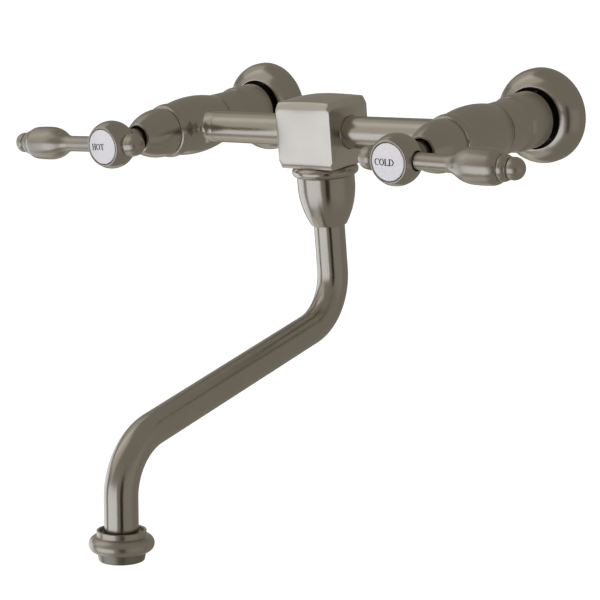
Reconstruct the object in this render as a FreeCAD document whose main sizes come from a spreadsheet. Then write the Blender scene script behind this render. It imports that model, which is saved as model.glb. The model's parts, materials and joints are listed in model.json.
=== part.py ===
import FreeCAD, Part
import os
from math import copysign, cos, radians, sin, sqrt, tan

import Sketcher

V = FreeCAD.Vector

# Wall mounted bath faucet: two quarter-turn valves joined by a bridge, with a swivel spout in the middle.
# The frame: the wall is the plane Y = 0 and the room is on its -Y side, +X points to the cold valve,
# +Z is up, and the origin lies on the wall, midway between the two inlets.
# Most pieces are turned, so their outlines are drawn as (distance along the axis, radius) and revolved.
# On a valve axis the distance is counted outwards from the wall, and on a lever from the hub's middle.

doc = FreeCAD.newDocument("bath_faucet")

SIZES = {
    "Main distances": {
        "inlet_spacing": 203.2,
        "bridge_out": 78.2,
        "hub_out": 148.0,
        "spout_reach": 190.8,
        "lever_droop": 1.2,
        "outlet_tilt": 6.9,
    },
    "Fits": {
        "run_fit": 0.06,
        "seat_fit": 0.05,
        "end_gap": 0.1,
        "free_gap": 0.3,
        "ring_slack": 0.02,
        "cut_past": 1.0,
    },
    "Wall flange": {
        "flange_radius": 27.6,
        "flange_rim": 2.0,
        "flange_depth": 13.5,
        "flange_lip": 0.7,
        "flange_hole": 17.8,
        "flange_wall": 1.8,
        "flange_crown": 2.9,
    },
    "Inlet connector": {
        "connector_radius": 16.5,
        "connector_back": 1.0,
        "connector_long": 32.0,
        "connector_step": 4.0,
        "connector_nose": 15.1,
        "connector_swell": 0.4,
        "connector_neck": 14.2,
        "neck_run": 16.5,
        "wall_washer_radius": 25.0,
        "wall_washer_thick": 2.0,
        "pipe_bore": 9.5,
        "pipe_depth": 16.0,
        "water_bore": 7.0,
        "washer_thick": 1.8,
    },
    "Valve body": {
        "barrel_back": 56.0,
        "barrel_end": 14.9,
        "barrel_crown": 2.2,
        "barrel_front": 94.2,
        "barrel_neck": 15.55,
        "collar_front": 102.0,
        "collar_end": 15.3,
        "collar_crown": 0.75,
        "tail_radius": 12.0,
        "tail_long": 16.0,
        "nose_radius": 12.8,
        "nose_long": 5.0,
        "chamber_radius": 10.5,
        "chamber_floor": 66.0,
        "arm_long": 24.5,
        "arm_blend": 4.0,
    },
    "Bonnet": {
        "bonnet_back": 14.35,
        "bonnet_long": 23.8,
        "bonnet_front": 9.0,
        "bonnet_crown": 2.05,
        "bonnet_hole": 7.5,
        "bonnet_wall": 1.4,
        "bonnet_lip": 3.0,
        "bonnet_edge": 0.5,
        "bonnet_relief": 1.5,
    },
    "Cartridge": {
        "cartridge_skirt": 8.9,
        "cartridge_thread": 15.0,
        "skirt_overlap": 1.0,
        "thread_chamfer": 1.2,
        "hex_flats": 20.4,
        "hex_thick": 4.2,
        "gland_radius": 6.2,
        "gland_long": 5.5,
        "disc_radius": 7.3,
        "disc_thick": 3.5,
        "port_radius": 2.1,
        "port_out": 4.4,
        "seal_thick": 2.2,
        "seal_bore": 5.2,
        "window_width": 8.0,
        "window_inset": 0.5,
        "stem_radius": 4.6,
        "stem_foot": 4.2,
        "foot_inset": 0.5,
        "stem_relief": 0.4,
        "spline_radius": 4.0,
        "spline_top": 144.0,
        "o_ring_section": 0.8,
        "o_ring_start": 2.5,
        "o_ring_pitch": 5.0,
        "clip_thick": 1.0,
        "clip_radius": 6.0,
        "clip_depth": 1.1,
    },
    "Handle hub": {
        "hub_radius": 14.0,
        "bezel_out": 8.3,
        "bezel_lip": 0.9,
        "hub_neck": 6.2,
        "hub_shoulder": 7.0,
        "shoulder_back": 15.6,
        "shoulder_long": 3.5,
        "hub_tail": 26.3,
        "button_radius": 10.2,
        "button_gap": 0.25,
        "button_depth": 2.4,
        "button_crown": 0.5,
        "button_edge": 0.6,
        "screw_radius": 2.1,
        "screw_head": 3.9,
        "screw_head_thick": 2.6,
        "screw_sink": 0.4,
        "screw_slot": 0.9,
        "slot_depth": 1.17,
        "screw_long": 15.0,
        "screw_room": 2.0,
    },
    "Lever": {
        "stud_radius": 3.0,
        "socket_floor": 5.6,
        "recess_floor": 9.5,
        "lever_neck": 4.6,
        "flare_start": 32.0,
        "flare_radius": 6.6,
        "flare_mid": 38.6,
        "flare_crown": 0.51,
        "drum_start": 49.5,
        "drum_shoulder": 0.82,
        "drum_radius": 9.8,
        "drum_end": 59.5,
        "drum_end_radius": 9.55,
        "drum_crown": 0.12,
        "drum_tip": 64.6,
        "drum_tip_radius": 7.4,
        "tip_crown": 0.44,
        "bead_groove": 6.7,
        "bead_start": 65.1,
        "tip_bead": 7.2,
        "bead_tip": 68.7,
        "bead_tip_radius": 5.9,
        "bead_crown": 0.42,
        "finial_middle": 71.4,
        "finial_radius": 5.84,
        "finial_ring": 6.1,
        "finial_ring_wide": 0.7,
        "finial_ring_round": 0.3,
        "finial_gap": 0.7,
        "finial_groove": 4.9,
        "finial_stud": 2.5,
        "finial_stud_long": 4.6,
        "knob_middle": 17.25,
        "knob_radius": 6.5,
        "side_hole": 5.4,
    },
    "Bridge and spout block": {
        "bridge_radius": 9.3,
        "bridge_wall": 2.0,
        "spigot_step": 1.1,
        "spigot_long": 6.0,
        "block_wide": 40.8,
        "block_deep": 38.2,
        "block_top": 21.4,
        "block_bottom": -19.6,
        "block_bulge": 0.9,
        "block_dome": 2.6,
        "block_edge": 0.9,
        "high_curl": 4.6,
        "high_lean": 1.5,
        "low_curl": 5.0,
        "low_lean": 1.8,
        "curl_crown": 0.2,
        "block_socket": 7.0,
        "outlet_radius": 13.2,
        "outlet_long": 12.0,
        "outlet_root": 2.0,
    },
    "Spout": {
        "spout_radius": 9.05,
        "spout_wall": 1.3,
        "spigot_radius": 8.3,
        "spigot_bore": 5.6,
        "spigot_top": -9.0,
        "spigot_lead": 5.0,
        "bore_step": 4.0,
        "bore_cone": 3.0,
        "ring_groove": 0.7,
        "ring_thick": 1.56,
        "ring_reach": 3.7,
        "bearing_thick": 1.5,
        "spout_o_ring": 0.9,
        "spout_o_pitch": 7.0,
        "collar_radius": 19.4,
        "collar_gap": 0.15,
        "collar_high": 6.0,
        "collar_bulge": 2.3,
        "nut_radius": 16.8,
        "nut_land": 3.0,
        "nut_bottom": -55.0,
        "nut_lip": 0.95,
        "nut_crown": 1.95,
        "bend_high": -108.6,
        "bend_high_round": 30.5,
        "bend_low": -136.1,
        "bend_low_round": 34.2,
    },
    "Aerator": {
        "cup_radius": 13.1,
        "cup_bore": 11.8,
        "cup_top": -43.0,
        "cup_depth": 2.8,
        "bead_radius": 17.3,
        "bead_middle": -50.3,
        "bead_half": 4.2,
        "housing_top": -54.6,
        "housing_radius": 12.9,
        "housing_end": 12.2,
        "housing_bottom": -59.4,
        "housing_round": 1.0,
        "thread_high": 2.9,
        "housing_bore": 9.6,
        "outlet_bore": 8.4,
        "outlet_lip": 1.3,
        "thread_radius": 11.0,
        "tip_washer": 1.3,
        "insert_thick": 3.2,
        "insert_hole": 0.9,
        "screen_thick": 0.6,
        "screen_hole": 0.8,
    },
}

sheet = doc.addObject("Spreadsheet::Sheet", "Sizes")


def fill_sheet():
    """Write every size into the sheet, with its name beside it as the cell's alias."""
    row = 1
    for group, cells in SIZES.items():
        sheet.set(f"A{row}", group)
        row += 1
        for name, value in cells.items():
            sheet.set(f"A{row}", name)
            sheet.set(f"B{row}", str(value))
            sheet.setAlias(f"B{row}", name)
            row += 1
    doc.recompute()


class Size:
    """A length that carries its formula on the sheet together with its value now."""

    def __init__(self, formula, value):
        self.formula = formula
        self.value = value

    def join(self, other, sign, value):
        return Size(f"({self.formula} {sign} {other.formula})", value)

    def __add__(self, other):
        other = as_size(other)
        return self.join(other, "+", self.value + other.value)

    def __sub__(self, other):
        other = as_size(other)
        return self.join(other, "-", self.value - other.value)

    def __mul__(self, other):
        other = as_size(other)
        return self.join(other, "*", self.value * other.value)

    def __truediv__(self, other):
        other = as_size(other)
        return self.join(other, "/", self.value / other.value)

    def __neg__(self):
        return self if self.formula == "0" else as_size(0) - self

    def __radd__(self, other):
        return as_size(other) + self

    def __rsub__(self, other):
        return as_size(other) - self

    def __rmul__(self, other):
        return as_size(other) * self


def as_size(number):
    return number if isinstance(number, Size) else Size(str(number), float(number))


class SheetNames:
    """S.flange_radius stands for the cell with that alias."""

    def __getattr__(self, name):
        return Size(f"Sizes.{name}", float(sheet.get(name)))


fill_sheet()
S = SheetNames()

# Sketches and features


def arc(x, y, rise):
    """An outline point reached by an arc, which rises to the left of the way there, or right if below 0."""
    return (x, y, "rise", as_size(rise))


def ball(x, y, radius):
    """An outline point reached by an arc of a given radius, to the left of the way, or right if below 0."""
    return (x, y, "ball", radius)


def plane_of(body, role):
    """One of the body's own origin planes, such as XZ_Plane."""
    return next(part for part in body.Origin.OriginFeatures if part.Role == role)


def new_sketch(body, name, role, lift=0):
    """A sketch on one of the body's origin planes, lifted off it by a size."""
    sketch = body.newObject("Sketcher::SketchObject", name)
    sketch.AttachmentSupport = [(plane_of(body, role), "")]
    sketch.MapMode = "FlatFace"
    if isinstance(lift, Size):
        sketch.setExpression("AttachmentOffset.Base.z", lift.formula)
    return sketch


def bind(sketch, constraint, size):
    """Add a constraint and tie its value to the sheet."""
    index = sketch.addConstraint(constraint)
    if "Sizes" in size.formula:
        sketch.setExpression(f"Constraints[{index}]", size.formula)


def pin_point(sketch, edge, end, x, y):
    """Hold one end of an edge at (x, y), where a plain 0 puts it on the axis."""
    for word, value, axis in (("DistanceX", x, -2), ("DistanceY", y, -1)):
        size = as_size(value)
        if size.formula == "0":
            sketch.addConstraint(Sketcher.Constraint("PointOnObject", edge, end, axis))
        else:
            bind(sketch, Sketcher.Constraint(word, edge, end, size.value), size)


def flat(point):
    """An outline point's place on its sketch."""
    return V(as_size(point[0]).value, as_size(point[1]).value, 0)


def arc_edge(start, finish):
    """The arc that reaches an outline point, its radius, and which of its ends come first and last."""
    kind, size = finish[2:]
    a = flat(start)
    b = flat(finish)
    chord = (b - a).Length
    if kind == "ball":
        radius = size
        rise = size.value - copysign((size.value ** 2 - chord ** 2 / 4) ** 0.5, size.value)
    else:
        across = as_size(finish[0]) - start[0]
        along = as_size(finish[1]) - start[1]
        radius = ((across * across + along * along) / 4 + size * size) / (2 * size)
        rise = size.value
    left = V(-(b - a).y, (b - a).x, 0).normalize()
    middle = (a + b) / 2 + left * rise
    # A sketch keeps its arcs counter-clockwise, so one that rises to the left is held back to front.
    if rise > 0:
        return Part.Arc(b, middle, a), radius, (2, 1)
    return Part.Arc(a, middle, b), -radius, (1, 2)


def draw_outline(sketch, points):
    """Draw a closed outline through points, each tied to the sheet."""
    edges = []
    for i, point in enumerate(points):
        curve, radius, ends = None, None, (1, 2)
        if len(point) > 2:
            curve, radius, ends = arc_edge(points[i - 1], point)
        else:
            curve = Part.LineSegment(flat(points[i - 1]), flat(point))
        edges.append((sketch.addGeometry(curve), ends, radius))
    for i, (edge, ends, radius) in enumerate(edges):
        before, before_ends, _ = edges[i - 1]
        sketch.addConstraint(Sketcher.Constraint("Coincident", before, before_ends[1], edge, ends[0]))
    for i, (edge, ends, radius) in enumerate(edges):
        pin_point(sketch, edge, ends[1], points[i][0], points[i][1])
        if radius is not None:
            bind(sketch, Sketcher.Constraint("Radius", edge, radius.value), radius)


def draw_circle(sketch, x, y, radius):
    """Draw a circle with its middle at (x, y)."""
    x, y = as_size(x), as_size(y)
    circle = Part.Circle(V(x.value, y.value, 0), V(0, 0, 1), radius.value)
    edge = sketch.addGeometry(circle)
    middle = 3
    pin_point(sketch, edge, middle, x, y)
    bind(sketch, Sketcher.Constraint("Radius", edge, radius.value), radius)


def draw_box(sketch, x0, y0, x1, y1):
    """Draw a rectangle between two opposite corners."""
    draw_outline(sketch, [(x0, y0), (x1, y0), (x1, y1), (x0, y1)])


def new_body(label):
    """An empty body, whose label names the piece."""
    body = doc.addObject("PartDesign::Body", label)
    body.Label = label
    return body


def turn(body, role, axis, points, kind="PartDesign::Revolution", angle=360.0):
    """Revolve an outline about a sketch axis, to add or, as a groove, to remove material."""
    name = f"{body.Name}_outline{len(body.Group)}"
    sketch = new_sketch(body, name, role)
    draw_outline(sketch, points)
    feature = body.newObject(kind, f"{body.Name}_turn{len(body.Group)}")
    feature.Profile = sketch
    feature.ReferenceAxis = (sketch, [axis])
    feature.Angle = angle
    doc.recompute()
    return feature


def groove(body, role, axis, points):
    return turn(body, role, axis, points, "PartDesign::Groove")


def extrude(body, kind, sketch, length, reversed_way=False, both_ways=False):
    """Pad or pocket a sketch by a length."""
    feature = body.newObject(kind, f"{body.Name}_extrusion{len(body.Group)}")
    feature.Profile = sketch
    if both_ways:
        feature.SideType = "Symmetric"
    feature.setExpression("Length", length.formula)
    feature.Reversed = reversed_way
    doc.recompute()
    return feature


def along_valve(points):
    """Turn (distance from the wall, radius) into sketch points, because the room is on the -Y side."""
    flipped = []
    for point in points:
        place = (-as_size(point[0]), point[1])
        curve = (point[2], -point[3]) if len(point) > 2 else ()
        flipped.append(place + curve)
    return flipped


def turned_on_valve(label, points, angle=360.0):
    """A piece that is revolved about the valve's own axis."""
    body = new_body(label)
    turn(body, "YZ_Plane", "H_Axis", along_valve(points), angle=angle)
    return body


def turned_on_spout(label, points, angle=360.0):
    """A piece that is revolved about an upright axis, drawn as (radius, height)."""
    body = new_body(label)
    turn(body, "XZ_Plane", "V_Axis", points, angle=angle)
    return body


def bind_place(body, x=0, y=0, z=0):
    """Tie a body's position to the sheet."""
    for letter, size in (("x", x), ("y", y), ("z", z)):
        if isinstance(size, Size):
            body.setExpression(f"Placement.Base.{letter}", size.formula)


def face_side(body, side, tilt=0):
    """Turn a body about the valve axis, so that what points at +X points to the given side."""
    body.Placement = FreeCAD.Placement(V(), FreeCAD.Rotation(V(0, 1, 0), 90))
    angle = as_size(tilt) if side > 0 else 180 - as_size(tilt)
    body.setExpression("Placement.Rotation.Angle", angle.formula)


def tori(label, section, middle_radius, places, role):
    """A set of equal O-rings, at places along Y or Z, as one group of separate solids."""
    rings = []
    for i, place in enumerate(places):
        ring = doc.addObject("Part::Torus", f"{label}_{i + 1}")
        ring.setExpression("Radius1", middle_radius.formula)
        ring.setExpression("Radius2", section.formula)
        if role == "valve":
            ring.Placement = FreeCAD.Placement(V(), FreeCAD.Rotation(V(1, 0, 0), 90))
            ring.setExpression("Placement.Base.y", (-place).formula)
        else:
            ring.setExpression("Placement.Base.z", place.formula)
        rings.append(ring)
    group = doc.addObject("Part::Compound", label)
    group.Links = rings
    group.Label = label
    return group


# Distances that several pieces share

half_spacing = S.inlet_spacing / 2
body_front = S.collar_front
nose_front = body_front + S.nose_long
bonnet_end = body_front + S.seat_fit + S.bonnet_long
tail_end = S.barrel_back - S.tail_long
seal_top = S.chamber_floor + S.seal_thick
disc_joint = seal_top + S.disc_thick
moving_back = disc_joint + S.run_fit
moving_front = moving_back + S.disc_thick
foot_front = moving_front + S.stem_foot
skirt_front = nose_front - S.cartridge_thread
hex_back = nose_front + S.seat_fit
hex_front = hex_back + S.hex_thick
gland_front = hex_front + S.gland_long
stem_bore = S.stem_radius + S.run_fit
stem_ring_middle = stem_bore - S.ring_slack - S.o_ring_section
disc_room = S.disc_radius + S.run_fit
clip_back = gland_front + S.end_gap
clip_front = clip_back + S.clip_thick
stem_front = clip_front + S.end_gap
arm_end = half_spacing - S.arm_long
bridge_bore = S.bridge_radius - S.bridge_wall
block_half = S.block_wide / 2
# A quarter round of radius 1 rises this much above its chord.
QUARTER_RISE = 0.293
outlet_end = S.block_bottom - S.outlet_long
groove_top = outlet_end - S.end_gap
groove_bottom = groove_top - S.ring_thick - S.seat_fit
bearing_top = groove_bottom - S.seat_fit
bearing_bottom = bearing_top - S.bearing_thick
spout_bore = S.spout_radius - S.spout_wall
spigot_room = S.spigot_radius + S.run_fit
spout_ring_middle = spigot_room - S.ring_slack - S.spout_o_ring
screen_bottom = S.housing_bottom + S.outlet_lip + S.seat_fit
screw_seat = -(S.bezel_out - S.button_depth - S.screw_sink - S.screw_head_thick)
housing_thread_top = S.housing_top + S.thread_high
tube_end = housing_thread_top + S.tip_washer

# Pieces of one inlet and its valve


def wall_flange(label):
    """A spun cover plate that slips along the connector, with a rolled lip round its hole."""
    lip_radius = S.flange_hole + S.flange_lip
    inside = S.flange_radius - S.flange_wall
    return turned_on_valve(label, [
        (0, inside),
        (0, S.flange_radius),
        (S.flange_rim, S.flange_radius),
        arc(S.flange_depth, lip_radius, S.flange_crown),
        (S.flange_depth, S.flange_hole),
        (S.flange_depth - S.flange_wall, S.flange_hole),
        arc(S.flange_rim, inside, -S.flange_crown),
    ])


def inlet_connector(label):
    """A stepped sleeve: it screws onto the supply pipe and takes the valve's tail."""
    neck_end = S.connector_back + S.neck_run
    shoulder = S.connector_back + S.connector_long
    nose_back = shoulder + S.connector_step
    front = S.barrel_back - S.seat_fit
    socket = S.tail_radius + S.seat_fit
    washer_back = tail_end - S.washer_thick - S.seat_fit
    pipe_end = S.connector_back + S.pipe_depth
    return turned_on_valve(label, [
        (S.connector_back, S.pipe_bore),
        (S.connector_back, S.connector_neck),
        (neck_end, S.connector_neck),
        (neck_end, S.connector_radius),
        (shoulder, S.connector_radius),
        arc(nose_back, S.connector_nose, S.connector_swell),
        (front, S.connector_nose),
        (front, socket),
        (washer_back, socket),
        (washer_back, S.water_bore),
        (pipe_end, S.water_bore),
        (pipe_end, S.pipe_bore),
    ])


def wall_washer(label):
    """The black rubber washer on the connector's neck, which closes the hole in the wall."""
    hole = S.connector_neck + S.seat_fit
    front = S.connector_back + S.wall_washer_thick
    return turned_on_valve(label, [
        (S.connector_back, hole),
        (S.connector_back, S.wall_washer_radius),
        (front, S.wall_washer_radius),
        (front, hole),
    ])


def union_washer(label):
    """The flat rubber washer that seals the valve's tail in the connector."""
    back = tail_end - S.washer_thick
    return turned_on_valve(label, [
        (back, S.water_bore),
        (back, S.tail_radius),
        (tail_end, S.tail_radius),
        (tail_end, S.water_bore),
    ])


def valve_body(label):
    """The barrel with its tail, its nose for the bonnet, and the arm that the bridge tube joins."""
    body = turned_on_valve(label, [
        (tail_end, 0),
        (tail_end, S.tail_radius),
        (S.barrel_back, S.tail_radius),
        (S.barrel_back, S.barrel_end),
        arc(S.barrel_front, S.barrel_neck, S.barrel_crown),
        arc(body_front, S.collar_end, S.collar_crown),
        (body_front, S.nose_radius),
        (nose_front, S.nose_radius),
        (nose_front, 0),
    ])
    arm = new_sketch(body, f"{label}_arm", "YZ_Plane")
    draw_circle(arm, -S.bridge_out, 0, S.bridge_radius)
    extrude(body, "PartDesign::Pad", arm, S.arm_long)
    blend_arm(body)
    groove(body, "YZ_Plane", "H_Axis", along_valve([
        (tail_end, 0),
        (tail_end, S.water_bore),
        (S.chamber_floor, S.water_bore),
        (S.chamber_floor, S.chamber_radius),
        (nose_front, S.chamber_radius),
        (nose_front, 0),
    ]))
    bore = new_sketch(body, f"{label}_arm_bore", "YZ_Plane")
    draw_circle(bore, -S.bridge_out, 0, bridge_bore)
    extrude(body, "PartDesign::Pocket", bore, S.arm_long, reversed_way=True)
    spigot = S.bridge_radius - S.spigot_step + S.seat_fit
    socket = new_sketch(body, f"{label}_arm_socket", "YZ_Plane", S.arm_long - S.spigot_long)
    draw_circle(socket, -S.bridge_out, 0, spigot)
    extrude(body, "PartDesign::Pocket", socket, S.spigot_long, reversed_way=True)
    return body


def blend_arm(body):
    """Round the edge where the arm leaves the barrel."""
    names = []
    # That edge is as wide and as high as the arm, and lies between the valve's axis and the arm's end.
    arm_width = 2 * S.bridge_radius.value - S.free_gap.value
    arm_limit = S.arm_long.value - S.free_gap.value
    for i, edge in enumerate(body.Tip.Shape.Edges):
        box = edge.BoundBox
        if min(box.ZLength, box.YLength) > arm_width and box.XMin > 0 and box.XMax < arm_limit:
            names.append(f"Edge{i + 1}")
    fillet = body.newObject("PartDesign::Fillet", f"{body.Name}_blend")
    fillet.Base = (body.Group[-2], names)
    fillet.setExpression("Radius", S.arm_blend.formula)
    doc.recompute()


def bonnet(label):
    """The domed cover that screws over the nose and hides the cartridge."""
    back = body_front + S.seat_fit
    cavity = S.nose_radius + S.seat_fit
    lip_back = bonnet_end - S.bonnet_lip
    edge = S.bonnet_edge
    return turned_on_valve(label, [
        (back, cavity),
        (back, S.bonnet_back),
        arc(bonnet_end - edge, S.bonnet_front, S.bonnet_crown),
        arc(bonnet_end, S.bonnet_front - edge, QUARTER_RISE * edge),
        (bonnet_end, S.bonnet_hole),
        (lip_back, S.bonnet_hole),
        (lip_back, S.bonnet_front - S.bonnet_wall + edge),
        (hex_front - S.bonnet_relief, cavity),
    ])


def cartridge_body(label):
    """The brass cartridge: skirt with water windows, thread, hexagon and gland."""
    thread = S.chamber_radius - S.seat_fit
    skirt_back = seal_top - S.skirt_overlap
    body = turned_on_valve(label, [
        (skirt_back, disc_room),
        (skirt_back, S.cartridge_skirt),
        (skirt_front, S.cartridge_skirt),
        (skirt_front, thread),
        (nose_front, thread),
        (hex_front, thread - S.thread_chamfer),
        (hex_front, S.gland_radius),
        (gland_front, S.gland_radius),
        (gland_front, stem_bore),
        (foot_front + S.free_gap, stem_bore),
        (foot_front + S.free_gap, disc_room),
    ])
    hexagon = new_sketch(body, f"{label}_hexagon", "XZ_Plane", hex_back)
    half = S.hex_flats / 2
    corner = S.hex_flats / sqrt(3)
    draw_outline(hexagon, [
        (corner, 0),
        (corner / 2, half),
        (-corner / 2, half),
        (-corner, 0),
        (-corner / 2, -half),
        (corner / 2, -half),
    ])
    extrude(body, "PartDesign::Pad", hexagon, S.hex_thick)
    groove(body, "YZ_Plane", "H_Axis", along_valve([
        (hex_back - S.cut_past, 0),
        (hex_back - S.cut_past, stem_bore),
        (gland_front, stem_bore),
        (gland_front, 0),
    ]))
    windows = new_sketch(body, f"{label}_windows", "YZ_Plane")
    half_width = S.window_width / 2
    draw_box(windows, -(foot_front - S.window_inset), -half_width, -(disc_joint + S.window_inset), half_width)
    extrude(body, "PartDesign::Pocket", windows, (S.cartridge_skirt + S.cut_past) * 2, both_ways=True)
    return body


def seat_seal(label):
    """The rubber ring that presses the fixed disc up from the floor of the chamber."""
    outside = disc_room - S.seat_fit
    return turned_on_valve(label, [
        (S.chamber_floor, S.seal_bore),
        (S.chamber_floor, outside),
        (seal_top, outside),
        (seal_top, S.seal_bore),
    ])


def ceramic_disc(label, back, ports):
    """A ceramic disc with two round ports; the fixed disc's ports lie across the moving disc's."""
    body = new_body(label)
    sketch = new_sketch(body, f"{label}_face", "XZ_Plane", back)
    draw_circle(sketch, 0, 0, S.disc_radius)
    for sign in (1, -1):
        place = sign * S.port_out
        across = (place, 0) if ports == "level" else (0, place)
        draw_circle(sketch, across[0], across[1], S.port_radius)
    extrude(body, "PartDesign::Pad", sketch, S.disc_thick)
    return body


def stem(label):
    """The brass spindle that turns the moving disc: foot, barrel with O-ring grooves, clip groove, spline."""
    groove_bottom_radius = stem_ring_middle - S.o_ring_section - S.seat_fit
    # A groove is a quarter wider than its ring.
    half = S.o_ring_section + S.o_ring_section / 4
    clip_bottom = S.stem_radius - S.clip_depth
    foot = S.disc_radius - S.foot_inset
    points = [
        (moving_front, 0),
        (moving_front, foot),
        (foot_front, foot),
        (foot_front, S.stem_radius),
    ]
    for place in stem_o_ring_places():
        points += [
            (place - half, S.stem_radius),
            (place - half, groove_bottom_radius),
            (place + half, groove_bottom_radius),
            (place + half, S.stem_radius),
        ]
    points += [
        (clip_back, S.stem_radius),
        (clip_back, clip_bottom),
        (clip_front + S.seat_fit, clip_bottom),
        (clip_front + S.seat_fit, S.stem_radius),
        (stem_front + S.stem_relief, S.stem_radius),
        (stem_front + S.stem_relief, S.spline_radius),
        (S.spline_top, S.spline_radius),
        (S.spline_top, S.screw_radius + S.seat_fit),
        (S.spline_top - S.screw_long, S.screw_radius + S.seat_fit),
        (S.spline_top - S.screw_long, 0),
    ]
    return turned_on_valve(label, points)


def stem_o_ring_places():
    first = skirt_front + S.o_ring_start
    return [first, first + S.o_ring_pitch]


def stem_o_rings(label):
    """Two O-rings in the spindle's grooves."""
    return tori(label, S.o_ring_section, stem_ring_middle, stem_o_ring_places(), "valve")


def stem_clip(label):
    """The open ring that keeps the spindle in its gland."""
    inside = S.stem_radius - S.clip_depth + S.seat_fit
    return turned_on_valve(label, [
        (clip_back, inside),
        (clip_back, S.clip_radius),
        (clip_front, S.clip_radius),
        (clip_front, inside),
    ], angle=300.0)


# Pieces of one handle, drawn from the middle of its ball


def handle_hub(label):
    """The ball with its neck, the bezel in front, and a recessed hole each side for lever and knob."""
    recess = S.button_radius + S.button_gap
    floor = -(S.bezel_out - S.button_depth)
    bore = S.spline_radius + S.seat_fit
    bore_end = S.hub_out - S.spline_top - S.free_gap
    screw_hole = S.screw_radius + S.seat_fit
    head_hole = S.screw_head + S.free_gap
    past = S.hub_radius + S.cut_past
    body = new_body(label)
    turn(body, "YZ_Plane", "H_Axis", [
        (floor, head_hole),
        (floor, recess),
        (-S.bezel_out, recess),
        (-S.bezel_out, recess + S.bezel_lip),
        ball(0, S.hub_radius, S.hub_radius),
        ball(S.shoulder_back - S.shoulder_long, S.hub_shoulder, S.hub_radius),
        (S.shoulder_back, S.hub_shoulder),
        (S.shoulder_back, S.hub_neck),
        (S.hub_tail, S.hub_neck),
        (S.hub_tail, bore),
        (bore_end, bore),
        (bore_end, screw_hole),
        (screw_seat, screw_hole),
        (screw_seat, head_hole),
    ])
    for sign in (1, -1):
        outline = [
            (sign * S.socket_floor, 0),
            (sign * S.socket_floor, S.stud_radius + S.seat_fit),
            (sign * S.recess_floor, S.stud_radius + S.seat_fit),
            (sign * S.recess_floor, S.side_hole),
            (sign * past, S.side_hole),
            (sign * past, 0),
        ]
        groove(body, "XZ_Plane", "H_Axis", outline)
    return body


def index_button(label):
    """The porcelain disc that sits in the bezel, with a softly domed face."""
    back = -(S.bezel_out - S.button_depth)
    edge = S.button_edge
    dome = S.button_radius - edge
    dome_start = S.bezel_out + edge / 4
    # The dome is the cap of the sphere that its width and its crown give.
    dome_sphere = (dome * dome + S.button_crown * S.button_crown) / (2 * S.button_crown)
    body = new_body(label)
    turn(body, "YZ_Plane", "H_Axis", [
        (back, 0),
        (back, S.button_radius),
        (-(S.bezel_out - edge / 2), S.button_radius),
        arc(-dome_start, dome, -QUARTER_RISE * edge),
        ball(-(dome_start + S.button_crown), 0, -dome_sphere),
    ])
    return body


def handle_screw(label):
    """The slotted screw behind the button, which holds the hub on the spindle."""
    head_front = screw_seat - S.screw_head_thick
    tip = S.hub_out - S.spline_top + S.screw_long - S.screw_room
    body = new_body(label)
    turn(body, "YZ_Plane", "H_Axis", [
        (head_front, 0),
        (head_front, S.screw_head),
        (screw_seat, S.screw_head),
        (screw_seat, S.screw_radius),
        (tip, S.screw_radius),
        (tip, 0),
    ])
    slot = new_sketch(body, f"{label}_slot", "YZ_Plane")
    half = S.screw_slot / 2
    draw_box(slot, head_front - S.cut_past, -half, head_front + S.slot_depth, half)
    extrude(body, "PartDesign::Pocket", slot, (S.screw_head + S.cut_past) * 2, both_ways=True)
    return body


def lever(label):
    """The lever arm: a threaded stud, a slim neck, a drum that flares out of it, and a bead at its tip."""
    stud_end = S.socket_floor + S.end_gap
    hole = S.finial_stud + S.seat_fit
    hole_end = S.bead_tip - S.finial_stud_long - S.free_gap
    body = new_body(label)
    turn(body, "XZ_Plane", "H_Axis", [
        (stud_end, 0),
        (stud_end, S.stud_radius),
        (S.recess_floor + S.seat_fit, S.stud_radius),
        (S.recess_floor + S.seat_fit, S.lever_neck),
        (S.flare_start, S.lever_neck),
        arc(S.flare_mid, S.flare_radius, -S.flare_crown),
        arc(S.drum_start, S.drum_radius, S.drum_shoulder),
        arc(S.drum_end, S.drum_end_radius, S.drum_crown),
        arc(S.drum_tip, S.drum_tip_radius, S.tip_crown),
        (S.drum_tip, S.bead_groove),
        (S.bead_start, S.bead_groove),
        (S.bead_start, S.tip_bead),
        arc(S.bead_tip, S.bead_tip_radius, S.bead_crown),
        (S.bead_tip, hole),
        (hole_end, hole),
        (hole_end, 0),
    ])
    return body


def lever_finial(label):
    """The small ball on the lever's end, with a thin disc at its root and a stud into the bead."""
    ring_back = S.bead_tip + S.seat_fit
    ring_front = ring_back + S.finial_ring_wide
    ball_start = ring_front + S.finial_gap
    ring_edge = S.finial_ring - S.finial_ring_round
    # The ball is cut where it is nearly as wide as it ever gets.
    ball_root = S.finial_radius * 0.98
    body = new_body(label)
    turn(body, "XZ_Plane", "H_Axis", [
        (S.bead_tip - S.finial_stud_long, 0),
        (S.bead_tip - S.finial_stud_long, S.finial_stud),
        (ring_back, S.finial_stud),
        (ring_back, ring_edge),
        arc(ring_front, ring_edge, S.finial_ring_round),
        (ring_front, S.finial_groove),
        (ball_start, S.finial_groove),
        (ball_start, ball_root),
        ball(S.finial_middle, S.finial_radius, S.finial_radius),
        ball(S.finial_middle + S.finial_radius, 0, S.finial_radius),
    ])
    return body


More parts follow.
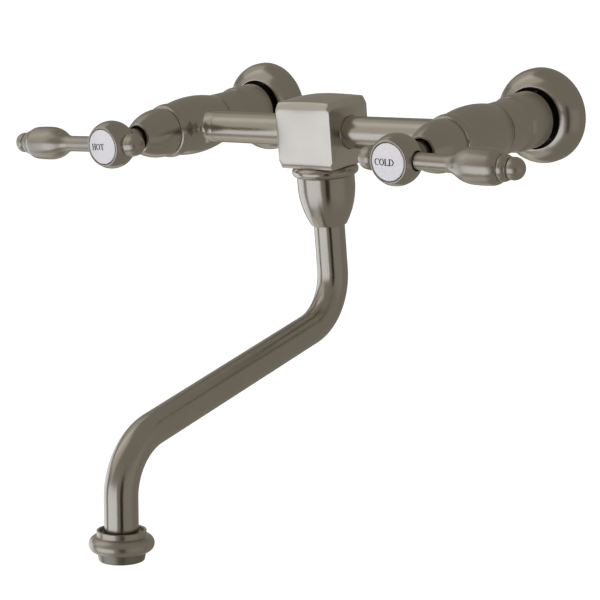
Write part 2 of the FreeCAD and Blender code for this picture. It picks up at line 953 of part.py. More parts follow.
def knob(label):
    """The short ball opposite the lever, on a stud and a neck of its own."""
    stud_end = S.socket_floor + S.end_gap
    # A neck of six tenths of the ball's radius meets it eight tenths of the radius from its middle.
    neck = S.knob_radius * 0.6
    neck_end = S.knob_middle - S.knob_radius * 0.8
    body = new_body(label)
    turn(body, "XZ_Plane", "H_Axis", [
        (stud_end, 0),
        (stud_end, S.stud_radius),
        (S.recess_floor + S.seat_fit, S.stud_radius),
        (S.recess_floor + S.seat_fit, neck),
        (neck_end, neck),
        ball(S.knob_middle, S.knob_radius, S.knob_radius),
        ball(S.knob_middle + S.knob_radius, 0, S.knob_radius),
    ])
    return body


# Pieces of the bridge and the spout's joint, drawn from the point where their axes cross


def bridge_tube(label):
    """The tube from the valve's arm to the block, with a stepped spigot at the valve end."""
    body = new_body(label)
    spigot = S.bridge_radius - S.spigot_step
    spigot_end = arm_end + S.spigot_long - S.end_gap
    block_end = block_half - S.block_socket + S.end_gap
    turn(body, "XZ_Plane", "H_Axis", [
        (block_end, bridge_bore),
        (block_end, S.bridge_radius),
        (arm_end, S.bridge_radius),
        (arm_end, spigot),
        (spigot_end, spigot),
        (spigot_end, bridge_bore),
    ])
    return body


def block_plan():
    """The block from above: four bulging sides with rounded corners."""
    x = block_half - S.block_bulge
    y = S.block_deep / 2 - S.block_bulge
    edge = S.block_edge
    turn_rise = -QUARTER_RISE * edge
    return [
        arc(x, y - edge, -S.block_bulge),
        arc(x - edge, y, turn_rise),
        arc(-(x - edge), y, -S.block_bulge),
        arc(-x, y - edge, turn_rise),
        arc(-x, -(y - edge), -S.block_bulge),
        arc(-(x - edge), -y, turn_rise),
        arc(x - edge, -y, -S.block_bulge),
        arc(x, -(y - edge), turn_rise),
    ]


def block_profile(half):
    """The block from one side: bulging sides that curl inwards at both ends, a domed top and a flat foot."""
    side = half - S.block_bulge
    shoulder = S.block_top - S.block_dome
    high_start = shoulder - S.high_curl
    low_start = S.block_bottom + S.low_curl
    return [
        arc(side, high_start, -S.block_bulge),
        arc(side - S.high_lean, shoulder, -S.curl_crown),
        arc(-(side - S.high_lean), shoulder, -S.block_dome),
        arc(-side, high_start, -S.curl_crown),
        arc(-side, low_start, -S.block_bulge),
        arc(-(side - S.low_lean), S.block_bottom, -S.curl_crown),
        (side - S.low_lean, S.block_bottom),
        arc(side, low_start, -S.curl_crown),
    ]


def spout_block(label):
    """The cushion-sided block: a socket for each bridge tube, and a threaded outlet underneath."""
    body = new_body(label)
    plan = new_sketch(body, f"{label}_plan", "XY_Plane", S.block_bottom)
    draw_outline(plan, block_plan())
    extrude(body, "PartDesign::Pad", plan, S.block_top - S.block_bottom)
    past = S.block_wide
    for role, half in (("XZ_Plane", block_half), ("YZ_Plane", S.block_deep / 2)):
        trim = new_sketch(body, f"{label}_trim_{role[:2]}", role)
        draw_box(trim, -past, -past, past, past)
        draw_outline(trim, block_profile(half))
        extrude(body, "PartDesign::Pocket", trim, past * 2, both_ways=True)
    turn(body, "XZ_Plane", "V_Axis", [
        (0, outlet_end),
        (S.outlet_radius, outlet_end),
        (S.outlet_radius, S.block_bottom + S.outlet_root),
        (0, S.block_bottom + S.outlet_root),
    ])
    socket = S.bridge_radius + S.seat_fit
    socket_end = block_half - S.block_socket
    past = block_half + S.cut_past
    groove(body, "XZ_Plane", "H_Axis", [
        (-past, 0),
        (-past, socket),
        (-socket_end, socket),
        (-socket_end, S.water_bore),
        (socket_end, S.water_bore),
        (socket_end, socket),
        (past, socket),
        (past, 0),
    ])
    groove(body, "XZ_Plane", "V_Axis", [
        (0, outlet_end - S.cut_past),
        (spigot_room, outlet_end - S.cut_past),
        (spigot_room, 0),
        (0, 0),
    ])
    return body


def spout_collar(label):
    """The rounded ring between the block and the nut."""
    top = S.block_bottom - S.collar_gap
    bottom = top - S.collar_high
    inside = S.outlet_radius + S.seat_fit
    outside = S.collar_radius - S.collar_bulge
    return turned_on_spout(label, [
        (inside, top),
        (outside, top),
        arc(outside, bottom, S.collar_bulge),
        (inside, bottom),
    ])


def spout_nut(label):
    """The tulip-shaped nut that screws on the outlet and holds the spout up."""
    top = S.block_bottom - S.collar_gap - S.collar_high - S.seat_fit
    inside = S.outlet_radius + S.seat_fit
    throat = S.spout_radius + S.free_gap
    return turned_on_spout(label, [
        (inside, top),
        (S.nut_radius, top),
        (S.nut_radius, top - S.nut_land),
        arc(throat + S.nut_lip, S.nut_bottom, S.nut_crown),
        (throat, S.nut_bottom),
        (throat, bearing_bottom),
        (inside, bearing_bottom),
    ])


def bearing_washer(label):
    """The plastic washer that the spout's ring turns on."""
    inside = S.spout_radius + S.free_gap
    return turned_on_spout(label, [
        (inside, bearing_bottom),
        (inside, bearing_top),
        (S.outlet_radius, bearing_top),
        (S.outlet_radius, bearing_bottom),
    ])


def retaining_ring(label):
    """The split ring in the spout's groove, which the nut can't let through."""
    inside = S.spigot_radius - S.ring_groove + S.seat_fit
    outside = S.spigot_radius + S.ring_reach
    top = groove_top - S.seat_fit / 2
    return turned_on_spout(label, [
        (inside, top),
        (outside, top),
        (outside, top - S.ring_thick),
        (inside, top - S.ring_thick),
    ], angle=335.0)


def spout_o_ring_places():
    first = S.spigot_top - S.spout_o_pitch / 2
    return [first, first - S.spout_o_pitch]


def spout_o_rings(label):
    """Two O-rings that seal the spout in the block."""
    return tori(label, S.spout_o_ring, spout_ring_middle, spout_o_ring_places(), "spout")


def spout_tube(label):
    """The swan-necked tube, with a thick spigot at the top for the O-rings and the split ring."""
    bottom_radius = spout_ring_middle - S.spout_o_ring - S.seat_fit
    # A groove is a quarter wider than its ring.
    half = S.spout_o_ring + S.spout_o_ring / 4
    start = S.nut_bottom + S.spigot_lead
    bore_step = groove_bottom - S.bore_step
    points = [(S.spigot_bore, S.spigot_top), (S.spigot_radius, S.spigot_top)]
    for place in spout_o_ring_places():
        points += [
            (S.spigot_radius, place + half),
            (bottom_radius, place + half),
            (bottom_radius, place - half),
            (S.spigot_radius, place - half),
        ]
    points += [
        (S.spigot_radius, groove_top),
        (S.spigot_radius - S.ring_groove, groove_top),
        (S.spigot_radius - S.ring_groove, groove_bottom),
        (S.spout_radius, groove_bottom),
        (S.spout_radius, start),
        (spout_bore, start),
        (spout_bore, bore_step),
        (S.spigot_bore, bore_step + S.bore_cone),
    ]
    body = turned_on_spout(label, points)
    path = new_sketch(body, f"{label}_path", "YZ_Plane")
    draw_spout_path(path, start)
    section = new_sketch(body, f"{label}_section", "XY_Plane", start)
    draw_circle(section, 0, 0, S.spout_radius)
    draw_circle(section, 0, 0, spout_bore)
    pipe = body.newObject("PartDesign::AdditivePipe", f"{label}_bent")
    pipe.Profile = section
    pipe.Spine = (path, [])
    doc.recompute()
    return body


def bend(corner, before, after, radius):
    """The arc that rounds a corner, from its first tangent point to its last."""
    into = (corner - before).normalize()
    out = (after - corner).normalize()
    half_turn = into.getAngle(out) / 2
    run = radius * tan(half_turn)
    middle = corner + (out - into).normalize() * radius * (1 / cos(half_turn) - 1)
    return corner - into * run, middle, corner + out * run


def draw_spout_path(sketch, start):
    """Straight down, a bend outwards, a slightly falling run, and a bend down to the outlet."""
    top = V(0, start.value, 0)
    high = V(0, S.bend_high.value, 0)
    low = V(-S.spout_reach.value, S.bend_low.value, 0)
    tilt = radians(S.outlet_tilt.value)
    tip = low + V(sin(tilt), cos(tilt), 0) * tube_end.value
    first = bend(high, top, low, S.bend_high_round.value)
    second = bend(low, high, tip, S.bend_low_round.value)
    drop = sketch.addGeometry(Part.LineSegment(top, first[0]))
    # The first bend turns clockwise, so its sketch arc runs from its last point to its first.
    high_arc = sketch.addGeometry(Part.Arc(first[2], first[1], first[0]))
    run = sketch.addGeometry(Part.LineSegment(first[2], second[0]))
    low_arc = sketch.addGeometry(Part.Arc(second[0], second[1], second[2]))
    fall = sketch.addGeometry(Part.LineSegment(second[2], tip))
    guide = sketch.addGeometry(Part.LineSegment(high, low), True)
    last_guide = sketch.addGeometry(Part.LineSegment(low, tip), True)
    for joint in ((drop, 2, high_arc, 2), (high_arc, 1, run, 1), (run, 2, low_arc, 1), (low_arc, 2, fall, 1)):
        sketch.addConstraint(Sketcher.Constraint("Tangent", *joint))
    pin_point(sketch, drop, 1, 0, start)
    pin_point(sketch, guide, 1, 0, S.bend_high)
    pin_point(sketch, guide, 2, -S.spout_reach, S.bend_low)
    sketch.addConstraint(Sketcher.Constraint("Vertical", drop))
    sketch.addConstraint(Sketcher.Constraint("Coincident", guide, 2, last_guide, 1))
    sketch.addConstraint(Sketcher.Constraint("Coincident", fall, 2, last_guide, 2))
    sketch.addConstraint(Sketcher.Constraint("PointOnObject", fall, 1, last_guide))
    bind(sketch, Sketcher.Constraint("Distance", last_guide, -tube_end.value), -tube_end)
    heading = -90 - S.outlet_tilt
    bind(sketch, Sketcher.Constraint("Angle", last_guide, radians(heading.value)), heading)
    sketch.addConstraint(Sketcher.Constraint("PointOnObject", run, 1, guide))
    sketch.addConstraint(Sketcher.Constraint("PointOnObject", run, 2, guide))
    bind(sketch, Sketcher.Constraint("Radius", high_arc, S.bend_high_round.value), S.bend_high_round)
    bind(sketch, Sketcher.Constraint("Radius", low_arc, S.bend_low_round.value), S.bend_low_round)


# Pieces at the spout's tip, drawn from the corner of the last bend, down the outlet's own axis


def tip_collar(label):
    """The fitting on the tube's end: an open cup above, a rounded bead, and the aerator's thread."""
    bead_top = S.bead_middle + S.bead_half
    bead_bottom = S.bead_middle - S.bead_half
    bead_rise = S.bead_half * QUARTER_RISE
    cup_floor = S.cup_top - S.cup_depth
    tube_hole = S.spout_radius + S.seat_fit
    thread = S.thread_radius + S.seat_fit
    return turned_on_spout(label, [
        (S.cup_bore, S.cup_top),
        (S.cup_radius, S.cup_top),
        (S.cup_radius, bead_top),
        arc(S.bead_radius, S.bead_middle, bead_rise),
        arc(S.cup_radius, bead_bottom, bead_rise),
        (thread, bead_bottom),
        (thread, tube_end),
        (tube_hole, tube_end),
        (tube_hole, cup_floor),
        (S.cup_bore, cup_floor),
    ])


def tip_washer(label):
    """The rubber washer between the tube's end and the aerator."""
    bottom = tube_end - S.tip_washer
    return turned_on_spout(label, [
        (spout_bore, tube_end),
        (S.thread_radius, tube_end),
        (S.thread_radius, bottom),
        (spout_bore, bottom),
    ])


def aerator_housing(label):
    """The screw-in aerator's shell, with a rounded lower edge and a lip that holds its screen."""
    lip_top = S.housing_bottom + S.outlet_lip
    return turned_on_spout(label, [
        (S.housing_bore, housing_thread_top),
        (S.thread_radius, housing_thread_top),
        (S.thread_radius, S.housing_top),
        (S.housing_radius, S.housing_top),
        (S.housing_end, S.housing_bottom + S.housing_round),
        arc(S.housing_end - S.housing_round, S.housing_bottom, QUARTER_RISE * S.housing_round),
        (S.outlet_bore, S.housing_bottom),
        (S.outlet_bore, lip_top),
        (S.housing_bore, lip_top),
    ])


def pierced_disc(label, bottom, thick, hole, rings):
    """A disc that fills the aerator's bore, with rings of small round holes."""
    body = new_body(label)
    sketch = new_sketch(body, f"{label}_face", "XY_Plane", bottom)
    outside = S.housing_bore - S.seat_fit
    draw_circle(sketch, 0, 0, outside)
    for share, count in rings:
        for k in range(count):
            angle = radians(360.0 * k / count)
            x = outside * round(share * cos(angle), 6)
            y = outside * round(share * sin(angle), 6)
            draw_circle(sketch, x, y, hole)
    extrude(body, "PartDesign::Pad", sketch, thick)
    return body


def aerator_screen(label):
    rings = ((0.3, 6), (0.55, 11), (0.79, 16))
    return pierced_disc(label, screen_bottom, S.screen_thick, S.screen_hole, rings)


def aerator_insert(label):
    bottom = screen_bottom + S.screen_thick + S.seat_fit
    return pierced_disc(label, bottom, S.insert_thick, S.insert_hole, ((0.36, 6), (0.73, 12)))


# The whole faucet


def place_on_valve(piece, side, facing, tilt=0):
    """Put a piece that was drawn from the wall on one side's valve axis, with its +X facing one way."""
    face_side(piece, facing, tilt)
    bind_place(piece, x=side_x(side))


def place_on_ball(piece, side, facing, tilt):
    """Put a piece that was drawn from the ball's middle on one side's handle, with its +X facing one way."""
    face_side(piece, facing, tilt)
    bind_place(piece, x=side_x(side), y=-S.hub_out)


def side_x(side):
    return half_spacing if side > 0 else -half_spacing


def build_side(prefix, side):
    """One inlet, its valve and its handle; the arm faces the middle and the lever points away from it."""
    fixed = [
        wall_flange(f"{prefix}_wall_flange"),
        inlet_connector(f"{prefix}_inlet_connector"),
        wall_washer(f"{prefix}_wall_washer"),
        union_washer(f"{prefix}_union_washer"),
        valve_body(f"{prefix}_valve_body"),
        bonnet(f"{prefix}_bonnet"),
        cartridge_body(f"{prefix}_cartridge_body"),
        seat_seal(f"{prefix}_seat_seal"),
        ceramic_disc(f"{prefix}_fixed_disc", seal_top, "level"),
    ]
    for piece in fixed:
        place_on_valve(piece, side, -side)
    turning = [
        ceramic_disc(f"{prefix}_moving_disc", moving_back, "upright"),
        stem(f"{prefix}_stem"),
        stem_clip(f"{prefix}_stem_clip"),
        stem_o_rings(f"{prefix}_stem_o_rings"),
    ]
    for piece in turning:
        place_on_valve(piece, side, side, S.lever_droop)
    hub_pieces = [
        handle_hub(f"{prefix}_handle_hub"),
        handle_screw(f"{prefix}_handle_screw"),
        index_button(f"{prefix}_index_button"),
        lever(f"{prefix}_lever"),
        lever_finial(f"{prefix}_lever_finial"),
    ]
    for piece in hub_pieces:
        place_on_ball(piece, side, side, S.lever_droop)
    small_knob = knob(f"{prefix}_knob")
    place_on_ball(small_knob, side, -side, -S.lever_droop)
    tube = bridge_tube(f"{prefix}_bridge_tube")
    face_side(tube, side)
    bind_place(tube, y=-S.bridge_out)
    return fixed + turning + hub_pieces + [small_knob, tube]


def build_middle():
    """The block, the spout's joint, the spout and its aerator."""
    joint = [
        spout_block("spout_block"),
        spout_collar("spout_collar"),
        spout_nut("spout_nut"),
        bearing_washer("bearing_washer"),
        retaining_ring("retaining_ring"),
        spout_o_rings("spout_o_rings"),
        spout_tube("spout_tube"),
    ]
    for piece in joint:
        bind_place(piece, y=-S.bridge_out)
    tip = [
        tip_collar("tip_collar"),
        tip_washer("tip_washer"),
        aerator_housing("aerator_housing"),
        aerator_insert("aerator_insert"),
        aerator_screen("aerator_screen"),
    ]
    for piece in tip:
        piece.Placement = FreeCAD.Placement(V(), FreeCAD.Rotation(V(-1, 0, 0), 90))
        piece.setExpression("Placement.Rotation.Angle", S.outlet_tilt.formula)
        bind_place(piece, y=-(S.bridge_out + S.spout_reach), z=S.bend_low)
    return joint + tip


def check_and_write(pieces):
    """Stop if anything failed to build, and write each piece to a file named after it."""
    doc.recompute()
    for thing in doc.Objects:
        if "Invalid" in thing.State or "Error" in thing.State:
            raise RuntimeError(f"{thing.Name} is {thing.State}")
    os.makedirs("parts", exist_ok=True)
    for piece in pieces:
        shape = piece.Shape
        if shape.isNull() or not shape.isValid() or not shape.Solids:
            raise RuntimeError(f"{piece.Label} has no sound shape")
    for piece in pieces:
        piece.Shape.exportStep(f"parts/{piece.Label}.step")
        print(f"{piece.Label:24s} {len(piece.Shape.Solids)} solid {piece.Shape.Volume:10.1f} mm3")


check_and_write(build_side("hot", -1) + build_side("cold", 1) + build_middle())
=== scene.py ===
# %% [markdown]
# # A wall mounted bath faucet
# Two quarter-turn valves stand on the wall and are joined by a bridge, and a swan-necked spout hangs from
# the block in its middle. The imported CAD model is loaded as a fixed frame, and this lesson gives each part
# that can be seen its finished shape and its finish. All lengths below are in millimetres until the moment
# a piece is put in place, because that is how a fitting like this is measured.

# %% Load the frame
import json
import math

import bmesh
import bpy
from mathutils import Matrix, Vector


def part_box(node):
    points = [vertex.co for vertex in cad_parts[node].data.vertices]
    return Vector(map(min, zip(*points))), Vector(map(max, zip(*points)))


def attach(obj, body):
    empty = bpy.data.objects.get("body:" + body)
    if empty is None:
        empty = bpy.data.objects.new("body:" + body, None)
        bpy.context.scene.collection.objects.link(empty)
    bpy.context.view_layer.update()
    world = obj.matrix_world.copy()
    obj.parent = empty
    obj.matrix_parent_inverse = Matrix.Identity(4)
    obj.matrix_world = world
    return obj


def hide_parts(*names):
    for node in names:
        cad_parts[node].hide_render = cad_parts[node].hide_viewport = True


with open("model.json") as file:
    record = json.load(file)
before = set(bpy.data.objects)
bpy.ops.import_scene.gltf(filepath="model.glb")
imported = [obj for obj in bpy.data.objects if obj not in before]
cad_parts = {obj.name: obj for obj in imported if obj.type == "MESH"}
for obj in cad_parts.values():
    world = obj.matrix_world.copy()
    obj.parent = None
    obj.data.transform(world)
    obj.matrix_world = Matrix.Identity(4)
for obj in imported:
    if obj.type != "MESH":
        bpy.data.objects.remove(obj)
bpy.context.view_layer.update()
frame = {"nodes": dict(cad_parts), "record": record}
MM = 0.001

# %% [markdown]
# The main distances repeat the design's. The wall is the plane Y = 0, the room is on its -Y side, the cold
# valve is at +X and up is +Z. Where a distance can be read from a CAD node's box, it is, so that the two
# models can't drift apart.

# %% Main distances
flange_low, flange_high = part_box("cold_wall_flange")
VALVE_X = (flange_low.x + flange_high.x) / 2 / MM
tube_low, tube_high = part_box("cold_bridge_tube")
BRIDGE_Y = (tube_low.y + tube_high.y) / 2 / MM
HUB_Y = -148.0
LEVER_DROOP = math.radians(1.2)
SPOUT_REACH = 190.8
SPOUT_DROP = 136.1
SPOUT_CORNER = Vector((0, BRIDGE_Y - SPOUT_REACH, -SPOUT_DROP))
OUTLET_TILT = math.radians(6.9)
SIDES = {"hot": -1, "cold": 1}
print(f"valves at X = +-{VALVE_X:.1f}, bridge at Y = {BRIDGE_Y:.1f}")

# %% [markdown]
# ## The camera
# A long lens about 1.2 m away looks down a little from the cold side. From so far off, the two valves look
# nearly the same size. The camera is made before anything else, so that every later step can be judged
# through it.

# %% Camera
SENSOR_WIDE = 36.0
LENS_LONG = 118.756
CAMERA_PLACE = Vector((0.69662, -0.97572, 0.17221))
CAMERA_TURN = math.radians(38.85)
CAMERA_LOOK_DOWN = math.radians(13.44)
CAMERA_LEAN = math.radians(-4.36)
camera_data = bpy.data.cameras.new("faucet_camera")
camera_data.sensor_width = SENSOR_WIDE
camera_data.lens = LENS_LONG
camera_data.clip_start = 0.01
camera = bpy.data.objects.new("faucet_camera", camera_data)
bpy.context.scene.collection.objects.link(camera)
yaw = Matrix.Rotation(CAMERA_TURN, 4, "Z")
pitch = Matrix.Rotation(math.radians(90.0) - CAMERA_LOOK_DOWN, 4, "X")
roll = Matrix.Rotation(CAMERA_LEAN, 4, "Z")
camera.matrix_world = Matrix.Translation(CAMERA_PLACE) @ yaw @ pitch @ roll
bpy.context.scene.camera = camera
print("camera at", [round(value, 3) for value in camera.matrix_world.translation])

# %% [markdown]
# ## Finishes
# Satin nickel is plated brass that was brushed while it turned, so its fine lines run round each piece, and
# a reflection is drawn out across them. Every brushed piece therefore carries a UV map in which U runs along
# the brushing and V across it, both in millimetres. The fine lines are noise that is stretched along U, and
# the anisotropic reflection takes its direction from the same map. A slow noise on Object coordinates keeps
# the tone from being the same all over, as handling does.

# %% Material helpers
def new_material(name, colour, metallic, roughness):
    """A Principled material, with the numbers that are the same all over set on the shader itself."""
    material = bpy.data.materials.new(name)
    material.use_nodes = True
    shader = material.node_tree.nodes["Principled BSDF"]
    shader.inputs["Base Color"].default_value = (*colour, 1.0)
    shader.inputs["Metallic"].default_value = metallic
    shader.inputs["Roughness"].default_value = roughness
    return material, shader


def add_node(material, kind, values=None, **settings):
    """Add a node, with its settings and the values of its inputs."""
    node = material.node_tree.nodes.new(kind)
    for name, value in settings.items():
        setattr(node, name, value)
    for name, value in (values or {}).items():
        node.inputs[name].default_value = value
    return node


def wire(material, output, socket):
    material.node_tree.links.new(output, socket)


UNSCALED = (1.0, 1.0, 1.0)


def coordinates(material, source, scale):
    """Object or UV coordinates, scaled."""
    place = add_node(material, "ShaderNodeTexCoord")
    mapping = add_node(material, "ShaderNodeMapping", {"Scale": scale})
    wire(material, place.outputs[source], mapping.inputs["Vector"])
    return mapping.outputs["Vector"]


def noise(material, vector, scale, detail=2.0):
    node = add_node(material, "ShaderNodeTexNoise", {"Scale": scale, "Detail": detail})
    wire(material, vector, node.inputs["Vector"])
    return node.outputs["Fac"]


def spread(material, value, low, high):
    """Map a noise's middle range onto low to high."""
    limits = {"From Min": 0.3, "From Max": 0.7, "To Min": low, "To Max": high}
    node = add_node(material, "ShaderNodeMapRange", limits)
    wire(material, value, node.inputs["Value"])
    return node.outputs["Result"]


def two_tones(material, shader, value, first, second):
    """Blend the base colour between two tones."""
    mix = add_node(material, "ShaderNodeMix", data_type="RGBA")
    mix.inputs["A"].default_value = (*first, 1.0)
    mix.inputs["B"].default_value = (*second, 1.0)
    wire(material, value, mix.inputs["Factor"])
    wire(material, mix.outputs["Result"], shader.inputs["Base Color"])


def bump(material, shader, value, height):
    node = add_node(material, "ShaderNodeBump", {"Distance": height, "Strength": 1.0})
    wire(material, value, node.inputs["Height"])
    wire(material, node.outputs["Normal"], shader.inputs["Normal"])


# %% Satin nickel
NICKEL_TONES = ((0.510, 0.468, 0.408), (0.562, 0.520, 0.460))
DARK_TONES = ((0.300, 0.280, 0.250), (0.350, 0.330, 0.295))
# The block's tones are lighter than the rest of the nickel, though its plating is the same: painted light,
# which makes the block look more brightly lit.
BLOCK_PAINTED_LIGHT_TONES = ((0.655, 0.610, 0.545), (0.705, 0.660, 0.595))
LINES_ACROSS = 3.5
LINES_ALONG = 0.03
LINE_DEPTH = 0.0000006
ALONG_THE_LINES = 0.25
PATCH_SCALE = 60.0


def satin_nickel(name, tones, roughness, stretch):
    """Brushed nickel: stretch is how much further light spreads across the lines than along them."""
    material, shader = new_material(name, tones[0], 1.0, roughness)
    shader.inputs["Anisotropic"].default_value = stretch
    shader.inputs["Anisotropic Rotation"].default_value = ALONG_THE_LINES
    tangent = add_node(material, "ShaderNodeTangent", direction_type="UV_MAP", uv_map="brushing")
    wire(material, tangent.outputs["Tangent"], shader.inputs["Tangent"])
    lines = noise(material, coordinates(material, "UV", (LINES_ALONG, LINES_ACROSS, 1.0)), 1.0, 2.0)
    patches = noise(material, coordinates(material, "Object", UNSCALED), PATCH_SCALE, 2.0)
    two_tones(material, shader, patches, *tones)
    wire(material, spread(material, lines, roughness * 0.92, roughness * 1.08), shader.inputs["Roughness"])
    bump(material, shader, lines, LINE_DEPTH)
    return material


nickel = satin_nickel("satin_nickel", NICKEL_TONES, 0.23, 0.6)
soft_nickel = satin_nickel("satin_nickel_soft", NICKEL_TONES, 0.33, 0.6)
# A lighter copy of the satin nickel for the block: its extra brightness is painted light.
block_nickel_painted_light = satin_nickel("satin_nickel_block_painted_light", BLOCK_PAINTED_LIGHT_TONES, 0.22, 0.3)
dark_nickel = satin_nickel("satin_nickel_dark", DARK_TONES, 0.36, 0.6)
print("made", [finish.name for finish in (nickel, soft_nickel, block_nickel_painted_light, dark_nickel)])

# %% [markdown]
# The index buttons are glazed porcelain: white with a cool cast, under a glaze that is clear and glossy. The
# coat is that glaze, and a very slow bump keeps its reflection from being perfectly flat.

# %% Porcelain and lettering
PORCELAIN_TONES = ((0.66, 0.65, 0.69), (0.70, 0.69, 0.73))
ENAMEL_TONES = ((0.010, 0.010, 0.012), (0.022, 0.022, 0.025))
GLAZE_WAVE_SCALE = 350.0
GLAZE_WAVE_DEPTH = 0.00001
ENAMEL_GRAIN_SCALE = 2500.0


def glazed_porcelain():
    material, shader = new_material("glazed_porcelain", PORCELAIN_TONES[0], 0.0, 0.22)
    shader.inputs["Coat Weight"].default_value = 0.6
    shader.inputs["Coat Roughness"].default_value = 0.06
    clouds = noise(material, coordinates(material, "Object", UNSCALED), GLAZE_WAVE_SCALE, 3.0)
    two_tones(material, shader, clouds, *PORCELAIN_TONES)
    bump(material, shader, clouds, GLAZE_WAVE_DEPTH)
    return material


def letter_enamel():
    material, shader = new_material("letter_enamel", ENAMEL_TONES[0], 0.0, 0.4)
    grain = noise(material, coordinates(material, "Object", UNSCALED), ENAMEL_GRAIN_SCALE, 2.0)
    two_tones(material, shader, grain, *ENAMEL_TONES)
    return material


porcelain = glazed_porcelain()
enamel = letter_enamel()
print("made", porcelain.name, "and", enamel.name)

# %% [markdown]
# The pieces inside the faucet are hardly ever seen, but each still has the finish of what it is made of:
# machined brass, stainless steel, black rubber, lapped ceramic and moulded nylon. The black rubber washers on
# the wall do show, as the dark gap between each flange and its connector; that black is painted shade, which
# stands for the shadow in the hollow behind each flange. Each CAD node gets the finish that its record names.

# %% Inner finishes
BRASS_TONES = ((0.72, 0.52, 0.22), (0.78, 0.60, 0.30))
STEEL_TONES = ((0.52, 0.52, 0.53), (0.60, 0.60, 0.61))
# Black rubber. On the rings behind the flanges this black is also painted shade, filling the gap that lies in
# shadow.
RUBBER_AND_SHADE_TONES = ((0.018, 0.018, 0.019), (0.035, 0.035, 0.036))
CERAMIC_TONES = ((0.85, 0.84, 0.80), (0.90, 0.89, 0.86))
NYLON_TONES = ((0.78, 0.77, 0.72), (0.84, 0.83, 0.78))


def plain_finish(name, tones, metallic, roughness, grain_scale, grain_height):
    """A finish whose tone, gloss and surface all follow one fine grain."""
    material, shader = new_material(name, tones[0], metallic, roughness)
    grain = noise(material, coordinates(material, "Object", UNSCALED), grain_scale, 4.0)
    two_tones(material, shader, grain, *tones)
    wire(material, spread(material, grain, roughness * 0.85, roughness * 1.15), shader.inputs["Roughness"])
    bump(material, shader, grain, grain_height)
    return material


inner_finishes = {
    "nickel": plain_finish("nickel_unbrushed", NICKEL_TONES, 1.0, 0.3, 900.0, 0.000003),
    "brass": plain_finish("machined_brass", BRASS_TONES, 1.0, 0.3, 1200.0, 0.000004),
    "steel": plain_finish("stainless_steel", STEEL_TONES, 1.0, 0.3, 1500.0, 0.000003),
    # The black rubber finish is also painted shade on the wall rings behind the flanges.
    "rubber": plain_finish("black_rubber_and_painted_shade", RUBBER_AND_SHADE_TONES, 0.0, 0.6, 2000.0, 0.00001),
    "ceramic": plain_finish("lapped_ceramic", CERAMIC_TONES, 0.0, 0.25, 800.0, 0.000002),
    "nylon": plain_finish("moulded_nylon", NYLON_TONES, 0.0, 0.4, 900.0, 0.00001),
    "porcelain": porcelain,
}
slot_of = {entry["node"]: entry["material_slot"] for entry in frame["record"]["subparts"]}
for name, node in frame["nodes"].items():
    node.data.materials.clear()
    node.data.materials.append(inner_finishes[slot_of[name]])
print("finishes on", len(frame["nodes"]), "CAD nodes")

# %% [markdown]
# ## Turned pieces
# Nearly every piece of a faucet comes off a lathe, so one helper makes them all. It draws half of the
# piece's section as a chain of vertices, in (distance along the axis, radius). A curved stretch is made by
# spinning the chain's last vertex round the curve's middle. The sharp corners are then bevelled, because a
# polished edge is never perfectly sharp and its small round catches the light. Last, the chain is spun right
# round the axis.

# %% Draw an outline
ARC_STEP = math.radians(6.0)


def bow(x, radius, rise):
    """An outline point reached by a curve that rises to the left of the way there, or right if below 0."""
    return (x, radius, rise)


def curve_to(bm, start, finish, rise):
    """Spin a vertex round the middle of a curve until it reaches the point called finish."""
    chord = finish - start.co
    left = Vector((-chord.z, 0, chord.x)).normalized()
    radius = (chord.length_squared / 4 + rise * rise) / (2 * abs(rise))
    middle = (start.co + finish) / 2 + left * (rise - math.copysign(radius, rise))
    sweep = 2 * math.asin(min(1.0, chord.length / 2 / radius))
    if abs(rise) > radius:
        sweep = 2 * math.pi - sweep
    steps = max(3, math.ceil(sweep / ARC_STEP))
    made = bmesh.ops.spin(
        bm, geom=[start], cent=middle, axis=(0, math.copysign(1.0, rise), 0), angle=sweep, steps=steps
    )
    last = next(item for item in made["geom_last"] if isinstance(item, bmesh.types.BMVert))
    last.co = finish
    return last


def draw_outline(bm, points, closed):
    """Draw the chain of vertices, and return the ones at the outline's own points."""
    corners = [bm.verts.new((points[0][0], 0, points[0][1]))]
    for point in points[1:]:
        place = Vector((point[0], 0, point[1]))
        if len(point) > 2:
            corners.append(curve_to(bm, corners[-1], place, point[2]))
        else:
            corners.append(bm.verts.new(place))
            bm.edges.new(corners[-2:])
    if closed:
        bm.edges.new((corners[-1], corners[0]))
    return corners


# %% Soften its corners and spin it
SOFT_TURN = math.radians(18.0)
TURN_STEPS = 120
CORNER_ROUND = 0.25
ON_AXIS = 1e-4
V_JUMP = 50.0


def signed_turn(angle):
    """The same angle, from -180 to 180 degrees."""
    return (angle + math.pi) % (2 * math.pi) - math.pi


def turn_at(vert):
    """How sharply the chain turns at a vertex."""
    if len(vert.link_edges) != 2:
        return 0.0
    before, after = [(edge.other_vert(vert).co - vert.co) for edge in vert.link_edges]
    return math.pi - before.angle(after)


def soften(bm, corners, width):
    sharp = [vert for vert in corners if turn_at(vert) > SOFT_TURN]
    if sharp and width:
        bmesh.ops.bevel(
            bm, geom=sharp, offset=width, offset_type="OFFSET", segments=3, profile=0.5,
            affect="VERTICES", clamp_overlap=True, material=-1,
        )


def measure_chain(bm, layer):
    """Write on each vertex how far along the chain it is, which becomes the V of the brushing."""
    ends = [vert for vert in bm.verts if len(vert.link_edges) == 1]
    start = min(ends or bm.verts, key=lambda vert: vert.co.x)
    walked, here, edge = 0.0, start, start.link_edges[0]
    while edge:
        nearby = edge.other_vert(here)
        walked += (nearby.co - here.co).length
        here = nearby
        if here == start:
            return
        here[layer] = walked
        edge = next((item for item in here.link_edges if item != edge), None)


